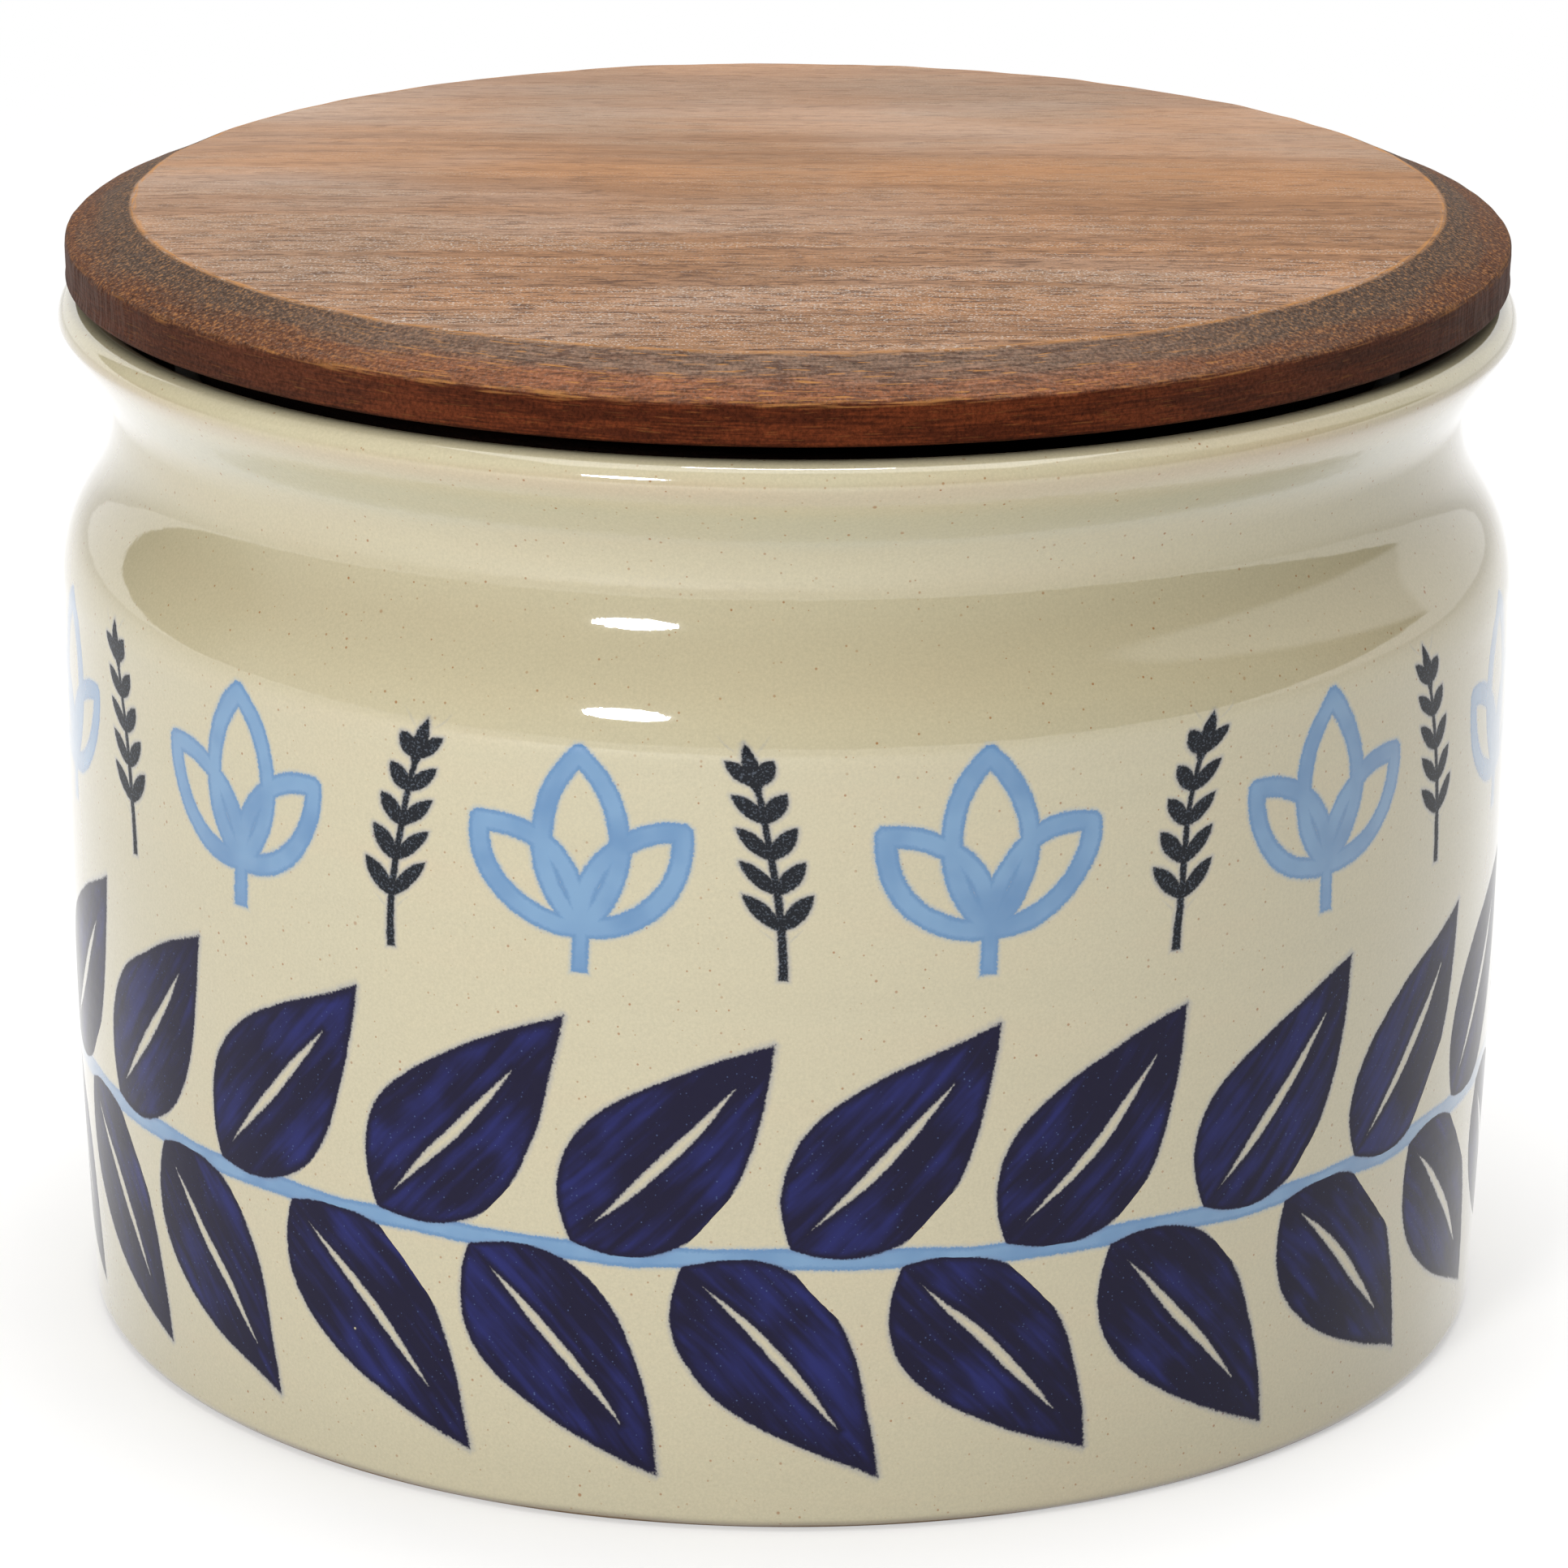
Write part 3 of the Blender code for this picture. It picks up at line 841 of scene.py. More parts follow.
def paint_group():
    """Brushed paint under the glaze: a soft grainy edge, a bled fringe and darker pools along the rim."""
    tree, given, end = new_group(
        "Brushed Paint",
        {"Place": "place", "Ground": "colour", "Paint": "colour", "Pool": "colour", "Fringe": "colour",
         "Inside": "value", "Fringe width": "value", "Pool width": "value", "Grain": "value"},
        {"Colour": "colour", "Cover": "value"})
    grain = noise(given["Place"], EDGE_GRAIN, COARSE) - MIDDLE_SHARE
    edge = given["Inside"] + grain * given["Grain"]
    cover = edge.step(-EDGE_SOFTNESS, EDGE_SOFTNESS)
    bleed = edge.step(given["Fringe width"] * -1, given["Fringe width"])
    pool = edge.step(given["Pool width"], EDGE_SOFTNESS)
    painted = mix(pool, given["Paint"], given["Pool"])
    tinted = mix(bleed * FRINGE_STRENGTH_SHARE, given["Ground"], given["Fringe"])
    return fill(tree, end, Colour=mix(cover, tinted, painted), Cover=cover)


# Materials

def new_material(name):
    """A material with its Principled BSDF, as the tree and that node."""
    material = bpy.data.materials.new(name)
    material.use_nodes = True
    tree = material.node_tree
    return material, tree, tree.nodes["Principled BSDF"]


CLOUD_LUMP = 22 * MM
STIPPLE_LUMP = 0.26 * MM
STIPPLE_ROUGHNESS = 0.7
STIPPLE_STRENGTH = 0.30
RING_LUMPS = (70 * MM, 70 * MM, 3.6 * MM)
RING_STRENGTH = 0.08
WARM_LINE_DROP = 0.5 * MM
WARM_LINE_STEP = (1.6 * MM, 0.1 * MM)
WARM_LINE_STRENGTH = 0.50
COOL_LINE_DROP = 4.2 * MM
COOL_LINE_STEP = (2.6 * MM, 0.6 * MM)
COOL_LINE_STRENGTH = 0.55
SHOULDER_SHADE_STEP = (6.8 * MM, 1.5 * MM)
SHOULDER_SHADE_STRENGTH = 0.46
LINE_WANDER = 1.2 * MM
CLOUD_STRENGTH = 0.5
RING_WARMTH = 0.7
# Spacing, size, share of places that hold one, strength
SPECK_LAYERS = ((0.85 * MM, 0.125 * MM, 0.75, 0.90),
                (2.4 * MM, 0.18 * MM, 0.50, 0.90),
                (9.0 * MM, 0.40 * MM, 0.25, 0.35))
SPECK_FAINT_SHARE = 0.4         # strength of the faintest speck in a layer


def glaze_ground(place, at, size, shared):
    """Cream glaze: warm where it is thin at the rim, cool below it, with painted shade on the shoulder, and
    specked.
    """
    clouds = noise(place, CLOUD_LUMP) - MIDDLE_SHARE
    stipple = noise(place, STIPPLE_LUMP, MEDIUM, STIPPLE_ROUGHNESS) - MIDDLE_SHARE
    rings = noise(place, RING_LUMPS) - MIDDLE_SHARE
    below_rim = rim_height(size) - at["Height"]
    wander = clouds * LINE_WANDER
    warm_line = abs(below_rim - WARM_LINE_DROP + wander).step(*WARM_LINE_STEP) * WARM_LINE_STRENGTH
    cool_line = abs(below_rim - COOL_LINE_DROP + wander).step(*COOL_LINE_STEP) * COOL_LINE_STRENGTH
    thin = (warm_line + clouds * CLOUD_STRENGTH + rings * RING_WARMTH).at_least(0.0).at_most(1.0)
    ground = mix(thin, size.glaze, size.glaze_warm)
    ground = mix((cool_line - clouds * CLOUD_STRENGTH).at_least(0.0), ground, size.glaze_cool)
    # Painted shade: the middle of the shoulder turns darker and yellower.
    shoulder = abs(at["Height"] - size.wall_height - size.shoulder_rise * MIDDLE_SHARE).step(*SHOULDER_SHADE_STEP)
    ground = mix(shoulder * SHOULDER_SHADE_STRENGTH, ground, size.shoulder_painted_shade)
    ground = brighten(ground, stipple * STIPPLE_STRENGTH + rings * RING_STRENGTH + 1.0)
    for spacing, speck_size, held, strength in SPECK_LAYERS:
        specks = use(shared["specks"], place.tree, place=place, spacing=spacing, size=speck_size, share=held)
        strength_here = specks["Random"] * (1 - SPECK_FAINT_SHARE) + SPECK_FAINT_SHARE
        ground = mix(specks["Mask"] * strength_here * strength, ground, size.iron)
    return ground, clouds, rings


SLOW_WOBBLE_LUMP = 13 * MM
SLOW_WOBBLE = 1.3 * MM
QUICK_WOBBLE_LUMP = 1.3 * MM
QUICK_WOBBLE = 0.15 * MM
STREAK_LENGTH = 11 * MM
STREAK_WIDTH = 1.1 * MM
STREAK_JUMP = 3.7                # between one leaf's streaks and the next one's
WASH_LUMP = 7 * MM
THIN_COBALT_STEP = (0.42, 0.70)
PINHOLE_SPACING = 0.42 * MM
PINHOLE_SIZE = 0.075 * MM
PINHOLE_SHARE = 0.6
PINHOLE_STRENGTH = 0.65
DUST_SPACING = 5 * MM
DUST_SIZE = 0.16 * MM
DUST_SHARE = 0.6
GRAIN_LUMP = 0.19 * MM
GRAIN_STEP = (0.53, 0.70)
SKY_LUMP = 5 * MM
SKY_STEP = (0.30, 0.85)
SKY_FRINGE = 0.45 * MM
SKY_POOL = 0.50 * MM
SKY_ROUGHNESS = 0.30 * MM
LEAF_FRINGE = 0.55 * MM
LEAF_POOL = 0.9 * MM
LEAF_ROUGHNESS = 0.30 * MM
BLACK_FRINGE = 0.50 * MM
BLACK_POOL = 0.2 * MM
BLACK_ROUGHNESS = 0.24 * MM


def brushwork(place, at, size, shared, ground):
    """Paint the garland, the buds and the sprigs over the ground, with the hand's wobble."""
    tree = place.tree
    slow_x, _, slow_z = noises(place, SLOW_WOBBLE_LUMP)
    quick_x, _, quick_z = noises(place, QUICK_WOBBLE_LUMP)
    girth = math.tau * size.body_radius
    turn = at["Turn"] + (slow_x * SLOW_WOBBLE + quick_x * QUICK_WOBBLE) / girth
    height = at["Height"] + slow_z * SLOW_WOBBLE + quick_z * QUICK_WOBBLE
    garland = use(garland_group(size), tree, turn=turn, height=height)
    sprigs = use(sprig_group(size), tree, turn=turn, height=height)
    buds = use(bud_group(size), tree, turn=turn, height=height)

    streak_place = combine(tree, garland["Along"] / STREAK_LENGTH, garland["Across"] / STREAK_WIDTH,
                           garland["Copy"] * STREAK_JUMP)
    thin = (noise(streak_place, lump=1.0) + noise(place, WASH_LUMP)) * MIDDLE_SHARE
    cobalt = mix(thin.step(*THIN_COBALT_STEP), size.cobalt, size.cobalt_thin)
    pinholes = use(shared["specks"], tree, place=place, spacing=PINHOLE_SPACING, size=PINHOLE_SIZE,
                   share=PINHOLE_SHARE)
    cobalt = mix(pinholes["Mask"] * PINHOLE_STRENGTH, cobalt, size.cobalt_fringe)
    dust = use(shared["specks"], tree, place=place, spacing=DUST_SPACING, size=DUST_SIZE, share=DUST_SHARE)
    cobalt = mix(dust["Mask"], cobalt, size.glaze)
    black = mix(noise(place, GRAIN_LUMP, COARSE).step(*GRAIN_STEP), size.black, size.black_grain)
    sky = mix(noise(place, SKY_LUMP).step(*SKY_STEP), size.sky, size.sky_pool)

    light = use(shared["paint"], tree, place=place, ground=ground, paint=sky, pool=size.sky_pool,
                fringe=size.sky, inside=buds["Line"].at_least(garland["Stem"]), fringe_width=SKY_FRINGE,
                pool_width=SKY_POOL, grain=SKY_ROUGHNESS)
    dark = use(shared["paint"], tree, place=place, ground=light["Colour"], paint=cobalt, pool=size.cobalt,
               fringe=size.cobalt_fringe, inside=garland["Leaf"], fringe_width=LEAF_FRINGE,
               pool_width=LEAF_POOL, grain=LEAF_ROUGHNESS)
    fine = use(shared["paint"], tree, place=place, ground=dark["Colour"], paint=black, pool=black,
               fringe=size.cobalt_fringe, inside=sprigs["Line"], fringe_width=BLACK_FRINGE,
               pool_width=BLACK_POOL, grain=BLACK_ROUGHNESS)
    inside = size.body_radius - size.wall_thickness
    outside = at["Radius"].step(inside, inside + size.wall_thickness / 2)
    dark_cover = dark["Cover"].at_least(fine["Cover"]) * outside
    cover = light["Cover"].at_least(dark["Cover"]).at_least(fine["Cover"]) * outside
    return mix(outside, ground, fine["Colour"]), cover, dark_cover


FOOT_WANDER = 0.8 * MM
SCORCH_STEP = (1.1 * MM, 0.4 * MM)
SCORCH_STRENGTH = 0.6
BARE_STEP = (0.5 * MM, 0.3 * MM)
CLAY_LUMP = 1.1 * MM
LIP_SEAT_STEP = (0.6 * MM, 0.1 * MM)
SEAT_SHADE_STRENGTH = 0.72
SEAT_MARGIN = 0.6 * MM
PEEL_LUMP = 1.4 * MM
FINE_PEEL_LUMP = 0.45 * MM
PEEL_DEPTH = 0.008 * MM
RING_DEPTH = 0.04 * MM
PAINT_DEPTH = 0.03 * MM
SMEAR_LUMP = 6 * MM
GLAZE_ROUGHNESS = 0.07
PAINT_ROUGHNESS = 0.03
SMEAR_ROUGHNESS = 0.06
DRY_ROUGHNESS = 0.75
DARK_PAINT_GLOSS_LOSS = 0.90
FINE_PEEL_SHARE = 0.3


def glaze_material(size, shared):
    """Cream glaze over painted leaves, sprigs and buds, with a bare clay foot ring, and painted shade on the
    shoulder and inside the lip.
    """
    material, tree, shader = new_material("Painted Glaze")
    place = object_place(tree)
    at = use(shared["round"], tree, place=place)
    ground, clouds, rings = glaze_ground(place, at, size, shared)
    painted, cover, dark_cover = brushwork(place, at, size, shared, ground)

    # Bare clay under the foot, with a scorched line where the glaze ends
    foot = at["Height"] + clouds * FOOT_WANDER
    bare = foot.step(*BARE_STEP)
    clay = mix(noise(place, CLAY_LUMP, FINE), size.clay, size.scorch_and_shade)
    surface = mix(foot.step(*SCORCH_STEP) * SCORCH_STRENGTH, painted, size.scorch_and_shade)

    # Gloss, with dry glaze inside the lip where the lid sits, browned there as painted shade under the lid
    crest = size.body_radius - size.rim_inset - size.lip_outer_width
    bore_top = neck_height(size) + size.mouth_bore_rise
    below_lip = at["Height"].step(crest_height(size) - size.lip_inner_drop, bore_top)
    lip_radius = crest - below_lip * (size.lip_inner_width + SEAT_MARGIN)
    inside_lip = (lip_radius - at["Radius"]).step(LIP_SEAT_STEP[1], LIP_SEAT_STEP[0])
    seat = inside_lip * at["Height"].step(neck_height(size), bore_top)
    # Painted shade: the seat inside the lip takes the scorch colour, for the shadow under the lid.
    surface = mix(seat * SEAT_SHADE_STRENGTH, surface, size.scorch_and_shade)
    surface = mix(bare, surface, clay)
    dry = bare.at_least(seat)
    smears = noise(place, SMEAR_LUMP)
    roughness = dry * DRY_ROUGHNESS + smears * SMEAR_ROUGHNESS + cover * PAINT_ROUGHNESS + GLAZE_ROUGHNESS
    gloss = (1 - dry) * (1 - dark_cover * DARK_PAINT_GLOSS_LOSS)

    # Relief: throwing rings, orange peel and the thickness of the paint
    ring_relief = bump(tree, rings, RING_DEPTH)
    peel = noise(place, PEEL_LUMP) + noise(place, FINE_PEEL_LUMP, COARSE) * FINE_PEEL_SHARE
    peel_relief = bump(tree, peel, PEEL_DEPTH, ring_relief)
    relief = bump(tree, cover + bare * noise(place, CLAY_LUMP, FINE), PAINT_DEPTH, peel_relief)
    fill(tree, shader, Base_Color=surface, Roughness=roughness, Specular_IOR_Level=0.08, Coat_Weight=gloss,
         Coat_IOR=1.8, Coat_Roughness=0.02, Normal=relief, Coat_Normal=peel_relief)
    return material


WANDER_LUMPS = (110 * MM, 33 * MM, 33 * MM)
WANDER = 6 * MM
BAND_LUMPS = (190 * MM, 11 * MM, 11 * MM)
STREAK_LUMPS = (42 * MM, 2.2 * MM, 2.2 * MM)
PORE_LUMPS = (2.4 * MM, 0.42 * MM, 0.42 * MM)
LONG_PORE_LUMPS = (5.5 * MM, 0.50 * MM, 0.50 * MM)
FIBRE_LUMPS = (3.2 * MM, 0.26 * MM, 0.26 * MM)
RIM_FIBRE_LUMPS = (3.6 * MM, 0.20 * MM, 0.20 * MM)
RIM_TONE_LUMPS = (14 * MM, 1.4 * MM, 1.8 * MM)
RUBBED_LUMPS = (7 * MM, 3 * MM, 3 * MM)
SPLINTER_LUMPS = (2.8 * MM, 0.24 * MM, 0.18 * MM)
SPECKLE_LUMPS = (0.24 * MM, 0.28 * MM, 0.22 * MM)
FLECK_LUMP = 0.33 * MM
PATCH_LUMP = 26 * MM
HAZE_LUMPS = (50 * MM, 22 * MM, 22 * MM)
END_STREAK_LUMPS = (0.30 * MM, 0.9 * MM, 3.5 * MM)
PORE_STEP = (0.57, 0.67)
LONG_PORE_STEP = (0.62, 0.71)
SPECKLE_STEP = (0.54, 0.66)
SPLINTER_STEP = (0.64, 0.69)
FLECK_STEP = (0.53, 0.66)
END_STEP = (0.28, 0.85)
BAND_END_STEP = (0.80, 0.99)
DRY_STEP = (20 * MM, -48 * MM)
DRY_LEAST = 0.15
FAR_SHEEN_STEP = (0.0, 60 * MM)
LEFT_LIGHT_STEP = (-15 * MM, -60 * MM)


def wood_grain(place, at, size):
    """Every pattern of the wood, by name: along the grain in X, round the rim, or the same each way, and two
    masks of painted light, towards the back and towards the left.
    """
    x, y, z = split(place)
    wander = (noise(place, WANDER_LUMPS) - MIDDLE_SHARE) * WANDER
    along = combine(place.tree, x, y + wander, z)
    rim = combine(place.tree, at["Turn"] * (math.tau * size.radius), at["Radius"], z)
    pores = noise(along, PORE_LUMPS, COARSE).step(*PORE_STEP)
    flecks = noise(place, FLECK_LUMP, MEDIUM, ROUGH)
    return {"bands": noise(along, BAND_LUMPS, FINE, ROUGH),
            "streaks": noise(along, STREAK_LUMPS, FINE, ROUGH),
            "pores": pores.at_least(noise(along, LONG_PORE_LUMPS, COARSE).step(*LONG_PORE_STEP)),
            "fibres": noise(along, FIBRE_LUMPS),
            "grit": flecks - MIDDLE_SHARE,
            "flecks": flecks.step(*FLECK_STEP),
            "rim_fibres": noise(rim, RIM_FIBRE_LUMPS),
            "rim_tone": noise(rim, RIM_TONE_LUMPS),
            "rubbed": noise(rim, RUBBED_LUMPS),
            "end_streaks": noise(rim, END_STREAK_LUMPS),
            "splinters": noise(rim, SPLINTER_LUMPS, COARSE).step(*SPLINTER_STEP),
            "speckle": noise(place, SPECKLE_LUMPS, COARSE).step(*SPECKLE_STEP),
            "patches": noise(place, PATCH_LUMP),
            "haze": noise(place, HAZE_LUMPS, FINE),
            # far is a painted sheen towards the back, left is painted light on the left side
            "far": y.step(*FAR_SHEEN_STEP),
            "left": x.step(*LEFT_LIGHT_STEP),
            "dry": y.step(*DRY_STEP) * (1 - DRY_LEAST) + DRY_LEAST}


TOP_TONE_STEP = (0.42, 0.58)
GREYED_STEP = (0.44, 0.64)
GREYED_STRENGTH = 0.6
HAZE_STEP = (0.45, 0.72)
HAZE_STRENGTH = 0.18
FAR_PAINTED_SHEEN_STRENGTH = 0.14
LEFT_PAINTED_LIGHT_STRENGTH = 0.09
# Strengths where the wood is smooth, and what the dry side adds
TOP_FIBRE_STRENGTHS = (0.3, 1.2)
TOP_PORE_STRENGTHS = (0.15, 0.6)
TOP_FLECK_STRENGTH = 0.45
CLUSTER_STEP = (0.36, 0.60)
TOP_SPECKLE_STRENGTH = 0.60


def drier(grain, strengths):
    """A strength that grows towards the dry side."""
    smooth, added = strengths
    return grain["dry"] * added + smooth


def wood_top(grain, size):
    """The flat top: warm and greyed bands, paled by a painted sheen towards the back and painted light
    towards the left, and open pores, lifted fibres and dust on its dry side.
    """
    tone = (grain["bands"] + grain["streaks"]) * MIDDLE_SHARE
    top = mix(tone.step(*TOP_TONE_STEP), size.wood_mid, size.wood_light)
    greyed = (grain["patches"] + grain["streaks"]) * MIDDLE_SHARE
    top = mix(greyed.step(*GREYED_STEP) * GREYED_STRENGTH, top, size.wood_grey)
    haze = grain["haze"].step(*HAZE_STEP) * HAZE_STRENGTH
    # Painted sheen towards the back and painted light towards the left, in the pale bloom colour, added to
    # the random haze.
    haze = haze + grain["far"] * FAR_PAINTED_SHEEN_STRENGTH + grain["left"] * LEFT_PAINTED_LIGHT_STRENGTH
    top = mix(haze, top, size.bloom_and_painted_light)
    top = brighten(top, (grain["fibres"] - MIDDLE_SHARE) * drier(grain, TOP_FIBRE_STRENGTHS) + 1)
    top = mix(grain["pores"] * drier(grain, TOP_PORE_STRENGTHS), top, size.pore)
    top = mix(grain["flecks"] * grain["dry"] * TOP_FLECK_STRENGTH, top, size.pore)
    clustered = grain["speckle"] * grain["streaks"].step(*CLUSTER_STEP)
    return mix(clustered * grain["dry"] * TOP_SPECKLE_STRENGTH, top, size.bloom_and_painted_light)


SLOPE_UNEVENNESS = 1.2
REDDEN_STEP = (0.25, 1.0)
SLOPE_ENDS_SHADE = 0.52
SLOPE_FIBRE_STRENGTH = 2.0
SLOPE_GRIT_STRENGTH = 2.0
ENDS_GRIT_STRENGTH = 1.0
SLOPE_PORE_STRENGTH = 0.65
SLOPE_SPECKLE_STRENGTH = 0.06
SPLINTER_STRENGTH = 0.65
ENDS_FLECK_STRENGTH = 0.40


def wood_bevel(grain, down_bevel, ends, size):
    """The slope: greyed above and red below, with lifted splinters that turn to flecks at the end grain."""
    uneven = (grain["patches"] + grain["rim_tone"] - 2 * MIDDLE_SHARE) * SLOPE_UNEVENNESS
    bevel = mix((down_bevel + uneven).step(*REDDEN_STEP), size.bevel_dark, size.bevel_red)
    bevel = brighten(bevel, 1 - ends * SLOPE_ENDS_SHADE)
    fibres = (grain["rim_fibres"] - MIDDLE_SHARE) * (1 - ends) * SLOPE_FIBRE_STRENGTH
    grit = grain["grit"] * (ends * ENDS_GRIT_STRENGTH + SLOPE_GRIT_STRENGTH)
    bevel = brighten(bevel, fibres + grit + 1)
    bevel = mix(grain["pores"] * (1 - ends) * SLOPE_PORE_STRENGTH, bevel, size.pore)
    bevel = mix(grain["speckle"] * SLOPE_SPECKLE_STRENGTH, bevel, size.bloom_and_painted_light)
    splinters = grain["splinters"] * (1 - ends) * SPLINTER_STRENGTH
    return mix(splinters + grain["flecks"] * ends * ENDS_FLECK_STRENGTH, bevel, size.fibre)


EDGE_TONE_STEP = (0.84, 1.14)
EDGE_ENDS_STRENGTH = 0.6
EDGE_GRIT_STRENGTH = 1.9
EDGE_SPLINTER_STRENGTH = 0.13
CHALK_STEP = (0.42, 0.62)
CHALK_STRENGTH = 0.6


def wood_edge(grain, across_grain, ends, size):
    """The upright edge: dark oiled wood with fine streaks, and chalky end grain where the fibres run out."""
    edge = mix((grain["rim_tone"] + grain["rim_fibres"]).step(*EDGE_TONE_STEP), size.edge_dark, size.edge)
    edge = mix(ends * EDGE_ENDS_STRENGTH, edge, size.end_dark)
    edge = brighten(edge, grain["grit"] * EDGE_GRIT_STRENGTH + 1)
    edge = mix(grain["splinters"] * EDGE_SPLINTER_STRENGTH, edge, size.edge_worn)
    chalk = across_grain.step(*BAND_END_STEP) * grain["end_streaks"].step(*CHALK_STEP)
    return mix(chalk * CHALK_STRENGTH, edge, size.end_grain)


FLAT_RAGGEDNESS = 0.5
CORNER_RAGGEDNESS = 0.35
RAGGED_FIBRE = 1.6 * MM
RAGGED_PATCH = 1.0 * MM
BEVEL_START_STEP = (-0.1 * MM, 0.4 * MM)
EDGE_START_STEP = (0.1 * MM, -0.5 * MM)
TOP_LINE_STEP = (0.45 * MM, 0.05 * MM)
TOP_LINE_GAPS_STEP = (0.40, 0.60)
TOP_LINE_STRENGTH = 0.72
CORNER_LINE_STEP = (0.62 * MM, 0.22 * MM)
RUBBED_STEP = (0.98, 1.24)
RUBBED_STRENGTH = 0.62
RUBBED_ENDS_LOSS = 0.6
UNDERSIDE_STEP = (0.4 * MM, -0.2 * MM)
UNDERSIDE_SHADE = 0.45
GAP_SHADE_STEP = (0.0, 2.5 * MM)
GAP_SHADE = 0.13
WOOD_ROUGHNESS = 0.55
PATCH_ROUGHNESS = 0.2
SLOPE_EDGE = 0.3 * MM
GRAIN_DEPTH = 0.08 * MM
SPECKLE_DEPTH = 0.04 * MM


def wood_material(size, shared):
    """Dry open-pored hardwood, grain along X: pale worn top with a painted sheen and painted light, greyed
    bevel, oiled edge, chalky end grain, and painted shade under the disc.
    """
    material, tree, shader = new_material("Turned Hardwood")
    place = object_place(tree)
    at = use(shared["round"], tree, place=place)
    x, _, z = split(place)
    grain = wood_grain(place, at, size)
    flat_radius = size.radius - size.bevel_width
    across_grain = abs(x / at["Radius"])
    ends = across_grain.step(*END_STEP)
    down_bevel = at["Radius"].step(flat_radius, size.radius)

    fuzz = (grain["rim_fibres"] - MIDDLE_SHARE) * RAGGED_FIBRE
    fuzz = fuzz + (grain["patches"] - MIDDLE_SHARE) * RAGGED_PATCH
    from_flat = at["Radius"] - flat_radius + fuzz * FLAT_RAGGEDNESS
    from_corner = z - (LID_HIGH.z - size.bevel_drop) + fuzz * CORNER_RAGGEDNESS
    from_side = size.radius - at["Radius"]
    surface = mix(from_flat.step(*BEVEL_START_STEP), wood_top(grain, size),
                  wood_bevel(grain, down_bevel, ends, size))
    surface = mix(from_corner.step(*EDGE_START_STEP), surface, wood_edge(grain, across_grain, ends, size))
    on_top = z.step(LID_HIGH.z - size.bevel_drop, LID_HIGH.z)
    top_line = abs(from_flat).step(*TOP_LINE_STEP) * on_top * grain["rim_fibres"].step(*TOP_LINE_GAPS_STEP)
    surface = mix(top_line * TOP_LINE_STRENGTH, surface, size.fibre)
    corner_line = hypotenuse(from_side, from_corner).step(*CORNER_LINE_STEP)
    rubbed = corner_line * (grain["rubbed"] + grain["rim_fibres"]).step(*RUBBED_STEP)
    rubbed = rubbed * (1 - ends * RUBBED_ENDS_LOSS) * RUBBED_STRENGTH
    surface = mix(rubbed, surface, size.edge_worn)
    # Painted shade: the underside and plug are darkened, and the band just under the disc darker still, for
    # the shadow in the gap between lid and rim.
    underside = (z - (LID_HIGH.z - size.thickness)).step(*UNDERSIDE_STEP)
    surface = brighten(surface, 1 - underside * (1 - UNDERSIDE_SHADE))
    above_groove = z - (LID_HIGH.z - size.thickness - size.gap_shade_height)
    surface = brighten(surface, 1 - underside * above_groove.step(*GAP_SHADE_STEP) * (1 - GAP_SHADE))

    on_slope = at["Radius"].step(flat_radius - SLOPE_EDGE, flat_radius + SLOPE_EDGE)
    fibres = (grain["fibres"] - grain["pores"]) * grain["dry"] * (1 - on_slope)
    fibre_relief = bump(tree, fibres + grain["rim_fibres"] * on_slope, GRAIN_DEPTH)
    relief = bump(tree, grain["speckle"] * grain["dry"], SPECKLE_DEPTH, fibre_relief)
    roughness = grain["patches"] * PATCH_ROUGHNESS + WOOD_ROUGHNESS
    fill(tree, shader, Base_Color=surface, Roughness=roughness, Specular_IOR_Level=0.05, Normal=relief)
    return material


AGED_LUMP = 11 * MM
AGED_STEP = (0.35, 0.75)
SEAL_ROUGHNESS = 0.35
AGED_ROUGHNESS = 0.2
SEAL_DUST_SPACING = 0.9 * MM
SEAL_DUST_SIZE = 0.12 * MM
SEAL_DUST_SHARE = 0.4
SEAL_DUST_STRENGTH = 0.4
SEAL_GRAIN_LUMP = 0.7 * MM
SEAL_GRAIN_DEPTH = 0.03 * MM


def seal_material(size, shared):
    """Off-white soft seal, a little yellowed and dusty."""
    material, tree, shader = new_material("Soft Seal")
    place = object_place(tree)
    aged = noise(place, AGED_LUMP, FINE)
    surface = mix(aged.step(*AGED_STEP), size.rubber, size.rubber_aged)
    dust = use(shared["specks"], tree, place=place, spacing=SEAL_DUST_SPACING, size=SEAL_DUST_SIZE,
               share=SEAL_DUST_SHARE)
    surface = mix(dust["Mask"] * SEAL_DUST_STRENGTH, surface, size.dust)
    relief = bump(tree, noise(place, SEAL_GRAIN_LUMP), SEAL_GRAIN_DEPTH)
    fill(tree, shader, Base_Color=surface, Roughness=aged * AGED_ROUGHNESS + SEAL_ROUGHNESS, Normal=relief)
    return material


WHITE = (1.0, 1.0, 1.0, 1.0)
FAR_FLOOR_STEP = (0.12, 0.60)   # from the jar's axis, where the floor turns into plain white


